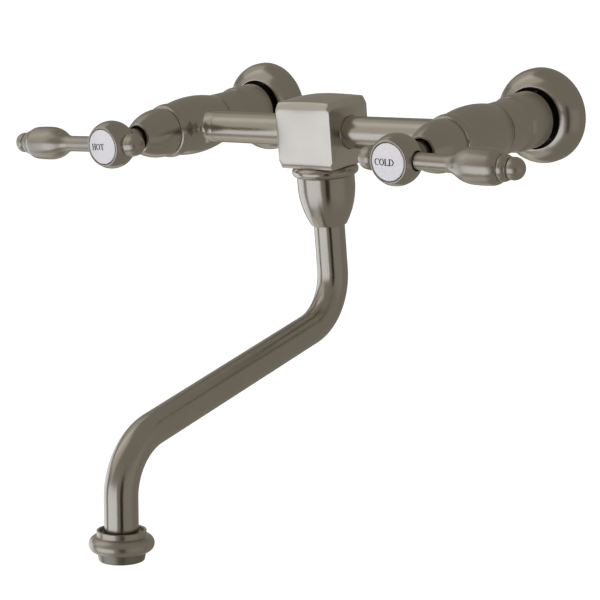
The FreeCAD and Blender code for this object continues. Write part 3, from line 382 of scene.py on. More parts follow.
def map_brushing(bm, layer):
    """U runs round the axis and V along the outline, level where a closed outline longer than V_JUMP meets."""
    brushing = bm.loops.layers.uv.new("brushing")
    for face in bm.faces:
        middle = face.calc_center_median()
        home = math.atan2(middle.z, middle.y)
        reach = math.hypot(middle.z, middle.y)
        low = min(loop.vert[layer] for loop in face.loops)
        for loop in face.loops:
            x, y, z = loop.vert.co
            on_axis = math.hypot(y, z) < ON_AXIS
            swing = 0.0 if on_axis else signed_turn(math.atan2(z, y) - home)
            along = loop.vert[layer]
            loop[brushing].uv = ((home + swing) * reach, along if along - low < V_JUMP else low)


def spin_outline(points, closed=True, width=CORNER_ROUND, steps=TURN_STEPS):
    """Turn an outline into a solid of revolution about X, in millimetres."""
    bm = bmesh.new()
    along = bm.verts.layers.float.new("along")
    corners = draw_outline(bm, points, closed)
    soften(bm, corners, width)
    measure_chain(bm, along)
    bmesh.ops.spin(
        bm, geom=bm.verts[:] + bm.edges[:], cent=(0, 0, 0), axis=(1, 0, 0), angle=2 * math.pi,
        steps=steps, use_merge=True,
    )
    bmesh.ops.remove_doubles(bm, verts=bm.verts, dist=ON_AXIS)
    bmesh.ops.recalc_face_normals(bm, faces=bm.faces)
    map_brushing(bm, along)
    return bm


# %% [markdown]
# A piece is modelled about the X axis and then carried to its own axis. Its place goes into its mesh, so the
# object itself stays at the origin, as the CAD's do. Weighted normals keep the broad faces flat in the light
# right up to their small rounds.

# %% Put a piece in place
BROAD_FACE_WEIGHT = 80


def axis_frame(origin, direction):
    """The matrix that carries X onto an axis, and millimetres onto metres."""
    turn = Vector(direction).to_track_quat("X", "Z").to_matrix().to_4x4()
    return Matrix.Scale(MM, 4) @ Matrix.Translation(Vector(origin)) @ turn


def finish_piece(name, bm, matrix, body, material, stands_for=()):
    """Make an object of a bmesh, parent it to the body that it rides on, and hide the CAD nodes that it stands
    for.
    """
    bmesh.ops.transform(bm, matrix=matrix, verts=bm.verts)
    for face in bm.faces:
        face.smooth = True
    mesh = bpy.data.meshes.new(name)
    bm.to_mesh(mesh)
    bm.free()
    mesh.materials.append(material)
    piece = bpy.data.objects.new(name, mesh)
    bpy.context.scene.collection.objects.link(piece)
    weighted = piece.modifiers.new("even_light", "WEIGHTED_NORMAL")
    weighted.weight = BROAD_FACE_WEIGHT
    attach(piece, body)
    if stands_for:
        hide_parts(*stands_for)
    print(f"{name}: {len(mesh.polygons)} faces on {body}")
    return piece


def turned(node, points, matrix, body, closed=True, width=CORNER_ROUND, material=nickel):
    """Turn a piece, and let it stand for the CAD node of the same name."""
    bm = spin_outline(points, closed, width)
    return finish_piece(f"{node}_turned", bm, matrix, body, material, [node])


def valve_axis(side):
    """Distance from the wall, along a valve."""
    return axis_frame((SIDES[side] * VALVE_X, 0, 0), (0, -1, 0))


def hub_axis(side):
    """Distance outwards from the middle of a hub's ball."""
    return axis_frame((SIDES[side] * VALVE_X, HUB_Y, 0), (0, -1, 0))


def lever_axis(side, way):
    """Distance from a hub's middle along its lever, or, with way -1, along its knob."""
    out = SIDES[side] * way
    return axis_frame(
        (SIDES[side] * VALVE_X, HUB_Y, 0), (out * math.cos(LEVER_DROOP), 0, -way * math.sin(LEVER_DROOP))
    )


spout_axis = axis_frame((0, BRIDGE_Y, 0), (0, 0, 1))
outlet_axis = axis_frame(SPOUT_CORNER, (0, math.sin(OUTLET_TILT), math.cos(OUTLET_TILT)))

# %% [markdown]
# ## On the wall
# Each flange is a spun dish that hides the hole in the wall, with a straight lip round the opening for the
# connector. The connector is a sleeve with a slimmer neck behind the flange, and it steps down once on its
# way to the valve. Both could be built from cylinders and Booleans, but one outline each, spun, gives their
# curves in a single step and keeps every edge clean.

# %% Wall flanges and inlet connectors
FLANGE_RADIUS = 27.6
FLANGE_SHEET = 1.8
FLANGE_RIM = 2.0
FLANGE_DEEP = 13.5
FLANGE_MOUTH = 17.8
FLANGE_LIP = 18.5
FLANGE_CROWN = 2.9
FLANGE = [
    (0.0, FLANGE_RADIUS - FLANGE_SHEET), (0.0, FLANGE_RADIUS), (FLANGE_RIM, FLANGE_RADIUS),
    bow(FLANGE_DEEP, FLANGE_LIP, FLANGE_CROWN), (FLANGE_DEEP, FLANGE_MOUTH),
    (FLANGE_DEEP - FLANGE_SHEET, FLANGE_MOUTH), bow(FLANGE_RIM, FLANGE_RADIUS - FLANGE_SHEET, -FLANGE_CROWN),
]
CONNECTOR_BACK = 1.0
NECK_RADIUS = 14.2
NECK_END = 17.5
SLEEVE_RADIUS = 16.5
SLIM_RADIUS = 15.1
STEP = (33.0, 37.0)
CONNECTOR_END = 55.95
TAIL_SEAT = 38.15
TAIL_RADIUS = 12.05
SUPPLY_RADIUS = 9.5
SUPPLY_DEEP = 17.0
WATERWAY = 7.0
CONNECTOR = [
    (CONNECTOR_BACK, SUPPLY_RADIUS), (CONNECTOR_BACK, NECK_RADIUS), (NECK_END, NECK_RADIUS),
    (NECK_END, SLEEVE_RADIUS), (STEP[0], SLEEVE_RADIUS), bow(STEP[1], SLIM_RADIUS, 0.4),
    (CONNECTOR_END, SLIM_RADIUS), (CONNECTOR_END, TAIL_RADIUS), (TAIL_SEAT, TAIL_RADIUS),
    (TAIL_SEAT, WATERWAY), (SUPPLY_DEEP, WATERWAY), (SUPPLY_DEEP, SUPPLY_RADIUS),
]
for side in SIDES:
    turned(f"{side}_wall_flange", FLANGE, valve_axis(side), f"{side}_flange", width=0.3)
    turned(f"{side}_inlet_connector", CONNECTOR, valve_axis(side), "faucet_body", width=0.35)

# %% [markdown]
# ## Valves and bonnets
# The valve's barrel swells a little and ends in a raised ring. The bonnet is a nut that closes it with a dome
# and lets the stem through. It is one more spun outline: the dome is a single flat arc, and a tighter arc
# rolls it over into the stem's opening.

# %% Bonnets
BONNET_START = 102.05
BONNET_RADIUS = 14.35
BONNET_END = 125.85
BONNET_MOUTH = 9.0
BONNET_ROLL = 0.5
STEM_OPENING = 7.5
BARREL_BORE = 12.85
BONNET = [
    (BONNET_START, BARREL_BORE), (BONNET_START, BONNET_RADIUS),
    bow(BONNET_END - BONNET_ROLL, BONNET_MOUTH, 2.05), bow(BONNET_END, BONNET_MOUTH - BONNET_ROLL, 0.14),
    (BONNET_END, STEM_OPENING), (BONNET_END - 3.0, STEM_OPENING), (BONNET_END - 3.0, 8.1),
    (109.75, BARREL_BORE),
]
for side in SIDES:
    turned(f"{side}_bonnet", BONNET, valve_axis(side), "faucet_body", width=0.15)

# %% [markdown]
# ## Handles
# The lever is turned in one: a slim neck that flares into a drum, and a bead at its tip. A small ball with a
# thin disc at its root is screwed into the bead, and the dark grooves between them set it off. The knob
# opposite balances it. Both stand in recesses of the hub, each on a hidden stud. A turner would cut the lever
# from one bar, so here too it is one outline whose swells are arcs from point to point.

# %% Levers, finials and knobs
STUD_END = 5.7
STUD_RADIUS = 3.0
RECESS_SEAT = 9.55
NECK_SLIM = 4.6
FLARE_START = 32.0
DRUM_START = 49.5
DRUM_RADIUS = 9.8
DRUM_END = 59.5
DRUM_TIP = 64.6
BEAD_START = 65.1
BEAD_TIP = 68.7
BEAD_GROOVE = 6.7
FINIAL_BORE = 2.55
LEVER = [
    (STUD_END, 0.0), (STUD_END, STUD_RADIUS), (RECESS_SEAT, STUD_RADIUS), (RECESS_SEAT, NECK_SLIM),
    (FLARE_START, NECK_SLIM), bow(38.6, 6.6, -0.51), bow(DRUM_START, DRUM_RADIUS, 0.82),
    bow(DRUM_END, 9.55, 0.12), bow(DRUM_TIP, 7.4, 0.44), (DRUM_TIP, BEAD_GROOVE), (BEAD_START, BEAD_GROOVE),
    (BEAD_START, 7.2), bow(BEAD_TIP, 5.9, 0.42), (BEAD_TIP, FINIAL_BORE), (63.8, FINIAL_BORE), (63.8, 0.0),
]
FINIAL_STUD = 2.5
FINIAL_ROOT = 68.75
FINIAL_DISC = 5.8
FINIAL_GROOVE = 4.9
FINIAL = [
    (64.1, 0.0), (64.1, FINIAL_STUD), (FINIAL_ROOT, FINIAL_STUD), (FINIAL_ROOT, FINIAL_DISC),
    bow(69.45, FINIAL_DISC, 0.3), (69.45, FINIAL_GROOVE), (70.15, FINIAL_GROOVE), (70.15, 5.72),
    bow(77.24, 0.0, 2.39),
]
KNOB_NECK = 3.9
KNOB = [
    (STUD_END, 0.0), (STUD_END, STUD_RADIUS), (RECESS_SEAT, STUD_RADIUS), (RECESS_SEAT, KNOB_NECK),
    (12.05, KNOB_NECK), bow(17.25, 6.5, 1.33), bow(23.75, 0.0, 1.904),
]
for side in SIDES:
    for node, points, way, width in (
        ("lever", LEVER, 1, 0.15), ("lever_finial", FINIAL, 1, 0.1), ("knob", KNOB, -1, 0.2),
    ):
        turned(
            f"{side}_{node}", points, lever_axis(side, way), f"{side}_handle",
            closed=False, width=width, material=soft_nickel,
        )

# %% [markdown]
# ## Index buttons
# A porcelain button closes each hub and hides the screw behind it. It is a thin disc with a rounded rim and a
# very slight dome, so it is a spun outline as well, with the glaze in place of the nickel.

# %% Index buttons
BUTTON_BACK = 5.9
BUTTON_FACE = 8.45
BUTTON_RISE = 0.5
BUTTON_DOME = 9.6
BUTTON = [
    (BUTTON_BACK, 0.0), (BUTTON_BACK, 10.0), (8.0, 10.0), bow(BUTTON_FACE, BUTTON_DOME, 0.18),
    bow(BUTTON_FACE + BUTTON_RISE, 0.0, 0.125),
]
for side in SIDES:
    turned(
        f"{side}_index_button", BUTTON, hub_axis(side), f"{side}_handle",
        closed=False, width=0.1, material=porcelain,
    )

# %% [markdown]
# ## Bridge, collar and nut
# A tube runs from the block to each valve and steps down where it enters the valve's arm. Under the block sit
# a rounded collar and a tulip-shaped nut, which holds the spout in and lets it turn. The tulip's side is a
# single flat arc, and the collar is little more than a half round, so each is an outline of a few points.

# %% Bridge tubes, collar and tulip nut
BRIDGE_RADIUS = 9.3
BRIDGE_BORE = 7.3
BRIDGE_START = 13.5
BRIDGE_STEP = 77.1
BRIDGE_END = 83.0
BRIDGE_TUBE = [
    (BRIDGE_START, BRIDGE_BORE), (BRIDGE_START, BRIDGE_RADIUS), (BRIDGE_STEP, BRIDGE_RADIUS),
    (BRIDGE_STEP, 8.2), (BRIDGE_END, 8.2), (BRIDGE_END, BRIDGE_BORE),
]
for side, way in SIDES.items():
    bridge_axis = axis_frame((0, BRIDGE_Y, 0), (way, 0, 0))
    turned(f"{side}_bridge_tube", BRIDGE_TUBE, bridge_axis, "faucet_body", width=0.15)
OUTLET_THREAD = 13.25
COLLAR_RADIUS = 17.1
COLLAR = [
    (-19.75, OUTLET_THREAD), (-19.75, COLLAR_RADIUS), bow(-25.75, COLLAR_RADIUS, -2.3),
    (-25.75, OUTLET_THREAD),
]
NUT_RADIUS = 16.8
NUT_FOOT = -55.0
NUT_THROAT = 9.35
NUT = [
    (-25.8, OUTLET_THREAD), (-25.8, NUT_RADIUS), (-28.8, NUT_RADIUS), bow(NUT_FOOT, 10.3, -1.95),
    (NUT_FOOT, NUT_THROAT), (-35.0, NUT_THROAT), (-35.0, OUTLET_THREAD),
]
turned("spout_collar", COLLAR, spout_axis, "faucet_body", width=0.15)
turned("spout_nut", NUT, spout_axis, "faucet_body", width=0.3)

# %% [markdown]
# ## The spout
# The tube is bent from one length: straight down, a bend outwards, a falling run, and a bend down again. A
# ring of vertices is extruded along the straights and spun round the bends, as a tube bender does.

# %% Spout path
SPOUT_RADIUS = 9.05
SPOUT_WALL = 1.3
SPOUT_TOP = -50.0
HIGH_CORNER = Vector((0, BRIDGE_Y, -108.6))
HIGH_ROUND = 30.5
LOW_ROUND = 34.2
OUTLET_REACH = 50.4


def bend_of(before, corner, after, radius):
    """A bend's first point, middle, angle, last point and the axis that it turns about."""
    into = (corner - before).normalized()
    out = (after - corner).normalized()
    angle = into.angle(out)
    run = radius * math.tan(angle / 2)
    middle = corner - into * run + (out - into * out.dot(into)).normalized() * radius
    return corner - into * run, middle, angle, corner + out * run, into.cross(out).normalized()


top = Vector((0, BRIDGE_Y, SPOUT_TOP))
down_outlet = Vector((0, -math.sin(OUTLET_TILT), -math.cos(OUTLET_TILT)))
tip = SPOUT_CORNER + down_outlet * OUTLET_REACH
high = bend_of(top, HIGH_CORNER, SPOUT_CORNER, HIGH_ROUND)
low = bend_of(HIGH_CORNER, SPOUT_CORNER, tip, LOW_ROUND)
print(f"bends of {math.degrees(high[2]):.1f} and {math.degrees(low[2]):.1f} degrees")

# %% Spout tube
RING_POINTS = 96
BEND_STEP = math.radians(2.5)


def extrude_ring(bm, ring, layer, shift):
    """Extrude a ring of edges, and add its length to what the vertices have walked."""
    made = bmesh.ops.extrude_edge_only(bm, edges=ring)
    verts = [item for item in made["geom"] if isinstance(item, bmesh.types.BMVert)]
    bmesh.ops.translate(bm, verts=verts, vec=shift)
    for vert in verts:
        vert[layer] += shift.length
    edges = [item for item in made["geom"] if isinstance(item, bmesh.types.BMEdge)]
    return [edge for edge in edges if edge.is_boundary and set(edge.verts) <= set(verts)]


def bend_ring(bm, ring, layer, bend, radius):
    """Spin a ring of edges round a bend, a few degrees at a time."""
    _, middle, angle, _, axis = bend
    steps = max(6, math.ceil(angle / BEND_STEP))
    for _ in range(steps):
        made = bmesh.ops.spin(bm, geom=ring, cent=middle, axis=axis, angle=angle / steps, steps=1)
        ring = [item for item in made["geom_last"] if isinstance(item, bmesh.types.BMEdge)]
        for vert in {vert for edge in ring for vert in edge.verts}:
            vert[layer] += radius * angle / steps
    return ring


def straight(bm, ring, layer, shift, count):
    for _ in range(count):
        ring = extrude_ring(bm, ring, layer, shift / count)
    return ring


def map_tube(bm, layer, angle_layer):
    """U runs round the tube and V along it."""
    brushing = bm.loops.layers.uv.new("brushing")
    for face in bm.faces:
        home = face.loops[0].vert[angle_layer]
        for loop in face.loops:
            swing = signed_turn(loop.vert[angle_layer] - home)
            loop[brushing].uv = ((home + swing) * SPOUT_RADIUS, loop.vert[layer])


def bent_tube():
    bm = bmesh.new()
    walked = bm.verts.layers.float.new("along")
    angle = bm.verts.layers.float.new("angle")
    made = bmesh.ops.create_circle(bm, segments=RING_POINTS, radius=SPOUT_RADIUS, cap_ends=False)
    for vert in made["verts"]:
        vert[angle] = math.atan2(vert.co.y, vert.co.x)
    bmesh.ops.translate(bm, verts=bm.verts, vec=top)
    ring = bm.edges[:]
    ring = straight(bm, ring, walked, high[0] - top, 4)
    ring = bend_ring(bm, ring, walked, high, HIGH_ROUND)
    ring = straight(bm, ring, walked, low[0] - high[3], 14)
    ring = bend_ring(bm, ring, walked, low, LOW_ROUND)
    ring = straight(bm, ring, walked, tip - low[3], 4)
    bmesh.ops.recalc_face_normals(bm, faces=bm.faces)
    map_tube(bm, walked, angle)
    return bm


tube = finish_piece(
    "spout_tube_bent", bent_tube(), Matrix.Scale(MM, 4), "spout", nickel, ["spout_tube"]
)
wall = tube.modifiers.new("wall", "SOLIDIFY")
wall.thickness = SPOUT_WALL * MM
wall.offset = -1.0
tube.modifiers.move(1, 0)

# %% [markdown]
# The tube's top is hidden in the nut and the block. It is a thicker spigot with two grooves for the O-rings
# and one for the split ring that holds the spout up, and it turns in the block's bore.

# %% Spout spigot
SPIGOT_TOP = -9.0
SPIGOT_RADIUS = 8.3
SPIGOT_WATERWAY = 5.6
O_RING_HEIGHTS = (-12.5, -19.5)
GROOVE_WIDE = 2.24
GROOVE_FLOOR = 6.53
RING_SLOT = (-31.7, -33.31)
RING_SLOT_FLOOR = 7.6
FUNNEL = (-37.31, -34.31)
SPIGOT = [(SPIGOT_TOP, SPIGOT_WATERWAY), (SPIGOT_TOP, SPIGOT_RADIUS)]
for height in O_RING_HEIGHTS:
    upper, lower = height + GROOVE_WIDE / 2, height - GROOVE_WIDE / 2
    SPIGOT += [(upper, SPIGOT_RADIUS), (upper, GROOVE_FLOOR), (lower, GROOVE_FLOOR), (lower, SPIGOT_RADIUS)]
SPIGOT += [
    (RING_SLOT[0], SPIGOT_RADIUS), (RING_SLOT[0], RING_SLOT_FLOOR), (RING_SLOT[1], RING_SLOT_FLOOR),
    (RING_SLOT[1], SPOUT_RADIUS), (SPOUT_TOP, SPOUT_RADIUS), (SPOUT_TOP, SPOUT_RADIUS - SPOUT_WALL),
    (FUNNEL[0], SPOUT_RADIUS - SPOUT_WALL), (FUNNEL[1], SPIGOT_WATERWAY),
]
finish_piece("spout_spigot_turned", spin_outline(SPIGOT, True, 0.1), spout_axis, "spout", nickel)

# %% [markdown]
# ## The outlet
# A ringed collar is fixed round the spout's end, and the aerator's shell is screwed up into it from below, a
# shade darker than the rest. The ring is two arcs that meet at its widest line. Both are spun about the
# outlet's own axis, which leans a little.

# %% Tip collar and aerator shell
TIP_TOP = -43.0
TIP_RADIUS = 13.1
TIP_RECESS = 11.8
TUBE_SEAT = (-45.8, -50.4)
TUBE_FIT = 9.1
RING_TOP = -46.1
RING_MIDDLE = -50.3
RING_FOOT = -54.5
RING_RADIUS = 17.3
RING_CROWN = -1.26
TIP_THREAD = 11.05
TIP_COLLAR = [
    (TIP_TOP, TIP_RECESS), (TIP_TOP, TIP_RADIUS), (RING_TOP, TIP_RADIUS),
    bow(RING_MIDDLE, RING_RADIUS, RING_CROWN), bow(RING_FOOT, TIP_RADIUS, RING_CROWN),
    (RING_FOOT, TIP_THREAD), (TUBE_SEAT[1], TIP_THREAD), (TUBE_SEAT[1], TUBE_FIT),
    (TUBE_SEAT[0], TUBE_FIT), (TUBE_SEAT[0], TIP_RECESS),
]
SHELL_TOP = -51.7
SHELL_BORE = 9.6
SHELL_THREAD = 11.0
SHELL_SHOULDER = -54.6
SHELL_FOOT = -59.4
SHELL_MOUTH = 8.4
SCREEN_SEAT = -58.1
AERATOR_SHELL = [
    (SHELL_TOP, SHELL_BORE), (SHELL_TOP, SHELL_THREAD), (SHELL_SHOULDER, SHELL_THREAD),
    (SHELL_SHOULDER, 12.9), (-58.4, 12.2), bow(SHELL_FOOT, 11.2, -0.29), (SHELL_FOOT, SHELL_MOUTH),
    (SCREEN_SEAT, SHELL_MOUTH), (SCREEN_SEAT, SHELL_BORE),
]
turned("tip_collar", TIP_COLLAR, outlet_axis, "spout", width=0.25, material=soft_nickel)
turned("aerator_housing", AERATOR_SHELL, outlet_axis, "spout", width=0.2, material=dark_nickel)

# %% [markdown]
# ## The block
# The block is a cushion: each side bulges a little, curls inwards at its top and foot, and meets its
# neighbours at a soft edge, under a domed top. A cube is cut into a fine grid and its vertices are moved out
# to that form. Its twelve edges are then bevelled, the round outlet is added, and the sockets and the bore
# are cut with solids of revolution, as they would be on a lathe. A curl is given by the height where it
# starts, how high it reaches and how far it leans in.

# %% Cushion form
CORNER_WIDE = 19.5
CORNER_DEEP = 18.2
BLOCK_FOOT = -19.6
BLOCK_SHOULDER = 18.8
BULGE = 0.9
DOME = 2.5
EDGE_BOW = 0.5
HIGH_CURL = (14.2, 4.6, 1.5)
LOW_CURL = (-15.4, 4.2, 1.3)
GRID_CUTS = 23


def side_reach(height, across):
    """How far a side stands out past the block's corner, at a height and at -1 to 1 across."""
    middle = (HIGH_CURL[0] + LOW_CURL[0]) / 2
    half = (HIGH_CURL[0] - LOW_CURL[0]) / 2
    crown = BULGE * (1 - across * across)
    off_middle = height - middle
    if abs(off_middle) <= half:
        return crown * (1 - (off_middle / half) ** 2)
    _, run, lean = HIGH_CURL if off_middle > 0 else LOW_CURL
    past = (abs(off_middle) - half) / run
    first_slope = 2 * crown / half * run
    return -(first_slope * past + (lean - first_slope) * past * past)


def cushion(u, v, w):
    """Where a point of the cube, given from -1 to 1 three ways, lies on the cushion."""
    height = BLOCK_FOOT + (w + 1) / 2 * (BLOCK_SHOULDER - BLOCK_FOOT)
    top = DOME * (1 - u * u) * (1 - v * v) + EDGE_BOW * (u * u * (1 - v * v) + v * v * (1 - u * u))
    x = u * (CORNER_WIDE + side_reach(height, v))
    y = v * (CORNER_DEEP + side_reach(height, u))
    return Vector((x, y, height + (w + 1) / 2 * top))


def map_block(bm):
    """U level along each side of the block and V up it; on top, U runs from left to right."""
    brushing = bm.loops.layers.uv.verify()
    for face in bm.faces:
        normal = face.normal
        level = "y" if abs(normal.x) > max(abs(normal.y), abs(normal.z)) else "x"
        up = "y" if abs(normal.z) > max(abs(normal.x), abs(normal.y)) else "z"
        for loop in face.loops:
            loop[brushing].uv = (getattr(loop.vert.co, level), getattr(loop.vert.co, up))


def cushion_block():
    bm = bmesh.new()
    bm.loops.layers.uv.new("brushing")
    bmesh.ops.create_cube(bm, size=2.0)
    bmesh.ops.subdivide_edges(bm, edges=bm.edges, cuts=GRID_CUTS, use_grid_fill=True)
    rims = [edge for edge in bm.edges if edge.calc_face_angle(0.0) > math.radians(45)]
    for vert in bm.verts:
        vert.co = cushion(*vert.co)
    bmesh.ops.bevel(
        bm, geom=rims, offset=0.5, offset_type="OFFSET", segments=4, profile=0.5, affect="EDGES",
        clamp_overlap=True, material=-1,
    )
    bmesh.ops.recalc_face_normals(bm, faces=bm.faces)
    map_block(bm)
    return bm


# %% [markdown]
# A Boolean modifier adds or takes away a solid. Its result is read back as a plain mesh, so nothing is left
# live on the piece and the cutting solid can be removed.

# %% Add the outlet and cut the bores
def carve(piece, points, matrix, operation):
    """Add or take away a solid of revolution."""
    bm = spin_outline(points, closed=False, width=0.0, steps=96)
    bmesh.ops.transform(bm, matrix=matrix, verts=bm.verts)
    bmesh.ops.recalc_face_normals(bm, faces=bm.faces)
    mesh = bpy.data.meshes.new("tool")
    bm.to_mesh(mesh)
    bm.free()
    tool = bpy.data.objects.new("tool", mesh)
    bpy.context.scene.collection.objects.link(tool)
    cutter = piece.modifiers.new("carve", "BOOLEAN")
    cutter.object = tool
    cutter.operation = operation
    cutter.solver = "EXACT"
    evaluated = piece.evaluated_get(bpy.context.evaluated_depsgraph_get())
    shaped = bpy.data.meshes.new_from_object(evaluated)
    piece.modifiers.remove(cutter)
    old = piece.data
    piece.data = shaped
    bpy.data.meshes.remove(old)
    bpy.data.objects.remove(tool)
    bpy.data.meshes.remove(mesh)


OUTLET_RADIUS = 13.2
OUTLET = [(-31.6, 0.0), (-31.6, OUTLET_RADIUS), (-17.6, OUTLET_RADIUS), (-17.6, 0.0)]
SOCKET_SEAT = 13.4
SOCKET_RADIUS = 9.35
PAST_THE_BLOCK = 22.0
CROSS_BORE = [
    (-PAST_THE_BLOCK, 0.0), (-PAST_THE_BLOCK, SOCKET_RADIUS), (-SOCKET_SEAT, SOCKET_RADIUS),
    (-SOCKET_SEAT, WATERWAY), (SOCKET_SEAT, WATERWAY), (SOCKET_SEAT, SOCKET_RADIUS),
    (PAST_THE_BLOCK, SOCKET_RADIUS), (PAST_THE_BLOCK, 0.0),
]
SPIGOT_ROOM = 8.36
SPIGOT_BORE = [(-32.6, 0.0), (-32.6, SPIGOT_ROOM), (0.0, SPIGOT_ROOM), (0.0, 0.0)]
# The block takes the lighter nickel, whose extra brightness is painted light.
block = finish_piece(
    "spout_block_cushion", cushion_block(), Matrix.Scale(MM, 4) @ Matrix.Translation((0, BRIDGE_Y, 0)),
    "faucet_body", block_nickel_painted_light, ["spout_block"],
)
carve(block, OUTLET, spout_axis, "UNION")
carve(block, CROSS_BORE, axis_frame((0, BRIDGE_Y, 0), (1, 0, 0)), "DIFFERENCE")
carve(block, SPIGOT_BORE, spout_axis, "DIFFERENCE")
block.data.materials.clear()
block.data.materials.append(block_nickel_painted_light)
for face in block.data.polygons:
    face.material_index = 0
print("the block now has", len(block.data.polygons), "faces")

# %% [markdown]
# ## Pieces carried over
# A valve body has an arm that blends into its barrel, and a hub has a recess each side. The CAD has those
# meetings exactly, so each is copied. The copy's loose triangles are merged, edges that turn sharply are
# marked so that they stay crisp, and it gets the same kind of brushing map as the turned pieces.

# %% Copies with a brushing map
CRISP_TURN = math.radians(28.0)


def brushed_copy(node, body, side):
    """Copy a CAD node's mesh, merge it, and map U round the valve's axis and V along it."""
    bm = bmesh.new()
    bm.from_mesh(frame["nodes"][node].data)
    bmesh.ops.remove_doubles(bm, verts=bm.verts, dist=0.000001)
    for edge in bm.edges:
        edge.smooth = edge.calc_face_angle(0.0) < CRISP_TURN
    bmesh.ops.scale(bm, vec=(1 / MM,) * 3, verts=bm.verts)
    brushing = bm.loops.layers.uv.new("brushing")
    for face in bm.faces:
        middle = face.calc_center_median()
        across = middle.x - SIDES[side] * VALVE_X
        home = math.atan2(middle.z, across)
        reach = math.hypot(middle.z, across)
        facing = abs(face.normal.y) > 0.7
        for loop in face.loops:
            place = loop.vert.co
            out = place.x - SIDES[side] * VALVE_X
            swing = signed_turn(math.atan2(place.z, out) - home)
            along = math.hypot(place.z, out) if facing else place.y
            loop[brushing].uv = ((home + swing) * reach, along)
    return finish_piece(f"{node}_brushed", bm, Matrix.Scale(MM, 4), body, nickel, [node])


for side in SIDES:
    brushed_copy(f"{side}_valve_body", "faucet_body", side)
    brushed_copy(f"{side}_handle_hub", f"{side}_handle", side)

# %% [markdown]
# ## Lettering
# Each button carries one plain word in dark enamel. The letters are drawn from two kinds of stroke only, a
# straight bar and a round bowl, with thick uprights, thin level strokes and small feet. They are flat at
# first, then given a little thickness, and last laid on the button's dome so that they follow it.

# %% Strokes
LETTER_HIGH = 3.6
STEM = 0.74
HAIR = 0.30
FOOT = 0.34


def bar(bm, left, low, right, high):
    """A straight stroke between two corners."""
    made = bmesh.ops.create_grid(bm, x_segments=6, y_segments=6, size=0.5)
    bmesh.ops.scale(bm, vec=(right - left, high - low, 1.0), verts=made["verts"])
    bmesh.ops.translate(bm, vec=((left + right) / 2, (low + high) / 2, 0), verts=made["verts"])


def bowl(bm, middle, wide, keep=lambda u, v: True):
    """A round stroke, thick at its sides and thin at top and bottom, kept where keep says so."""
    half = LETTER_HIGH / 2
    made = bmesh.ops.create_circle(bm, segments=48, radius=1.0, cap_ends=False)
    outer = made["verts"]
    edges = list({edge for vert in outer for edge in vert.link_edges})
    inner = bmesh.ops.extrude_edge_only(bm, edges=edges)["geom"]
    inner = [item for item in inner if isinstance(item, bmesh.types.BMVert)]
    faces = list({face for vert in inner for face in vert.link_faces})
    dropped = [face for face in faces if not keep(*face.calc_center_median().xy)]
    bmesh.ops.scale(bm, vec=(wide / 2, half, 1.0), verts=outer)
    bmesh.ops.scale(bm, vec=(wide / 2 - STEM, half - HAIR, 1.0), verts=inner)
    bmesh.ops.translate(bm, vec=(middle, half, 0), verts=outer + inner)
    bmesh.ops.delete(bm, geom=dropped, context="FACES")


def upright(bm, middle):
    """A thick stem with a foot at each end."""
    bar(bm, middle - STEM / 2, 0, middle + STEM / 2, LETTER_HIGH)
    for low in (0, LETTER_HIGH - HAIR * 0.8):
        bar(bm, middle - STEM / 2 - FOOT, low, middle + STEM / 2 + FOOT, low + HAIR * 0.8)


# %% Letters
def letter_h(bm, x):
    upright(bm, x + 0.65)
    upright(bm, x + 2.55)
    bar(bm, x + 0.65, 1.7, x + 2.55, 1.7 + HAIR)
    return 3.2


def letter_o(bm, x):
    bowl(bm, x + 1.6, 3.2)
    return 3.2


def letter_t(bm, x):
    upright(bm, x + 1.45)
    bar(bm, x, LETTER_HIGH - HAIR, x + 2.9, LETTER_HIGH)
    for left in (x, x + 2.9 - HAIR):
        bar(bm, left, LETTER_HIGH - 0.85, left + HAIR, LETTER_HIGH)
    return 2.9


def letter_c(bm, x):
    bowl(bm, x + 1.6, 3.2, lambda u, v: u < 0.62)
    bar(bm, x + 2.55, LETTER_HIGH - 1.1, x + 2.55 + HAIR, LETTER_HIGH)
    return 3.0


def letter_l(bm, x):
    upright(bm, x + 0.65)
    bar(bm, x + 0.65, 0, x + 2.6, HAIR)
    bar(bm, x + 2.6 - HAIR, 0, x + 2.6, 0.95)
    return 2.6


def letter_d(bm, x):
    upright(bm, x + 0.65)
    bowl(bm, x + 1.15, 4.3, lambda u, v: u > 0)
    bar(bm, x + 0.65, 0, x + 1.3, HAIR)
    bar(bm, x + 0.65, LETTER_HIGH - HAIR, x + 1.3, LETTER_HIGH)
    return 3.3


LETTERS = {"H": letter_h, "O": letter_o, "T": letter_t, "C": letter_c, "L": letter_l, "D": letter_d}
LETTER_GAP = 0.12
PROUD = 0.05
SUNK = 0.08


def button_word(side, word, shift):
    """Set a word, give it thickness, and lay it on the dome of its button."""
    bm = bmesh.new()
    x = 0.0
    for character in word:
        x += LETTERS[character](bm, x) + LETTER_GAP
    bmesh.ops.remove_doubles(bm, verts=bm.verts, dist=1e-5)
    bmesh.ops.translate(bm, vec=(shift - x / 2, -LETTER_HIGH / 2, 0), verts=bm.verts)
    bmesh.ops.recalc_face_normals(bm, faces=bm.faces)
    faces = bm.faces[:]
    bmesh.ops.reverse_faces(bm, faces=[face for face in faces if face.normal.z < 0])
    raised = bmesh.ops.extrude_face_region(bm, geom=faces, use_keep_orig=True)["geom"]
    raised = {item for item in raised if isinstance(item, bmesh.types.BMVert)}
    bmesh.ops.reverse_faces(bm, faces=faces)
    for vert in bm.verts:
        out = BUTTON_FACE + BUTTON_RISE * (1 - vert.co.xy.length_squared / BUTTON_DOME ** 2)
        out += PROUD if vert in raised else -SUNK
        vert.co = (vert.co.x, -out, vert.co.y)
    droop = Matrix.Rotation(SIDES[side] * LEVER_DROOP, 4, "Y")
    place = Matrix.Scale(MM, 4) @ Matrix.Translation((SIDES[side] * VALVE_X, HUB_Y, 0)) @ droop
    return finish_piece(f"{side}_button_word", bm, place, f"{side}_handle", enamel)


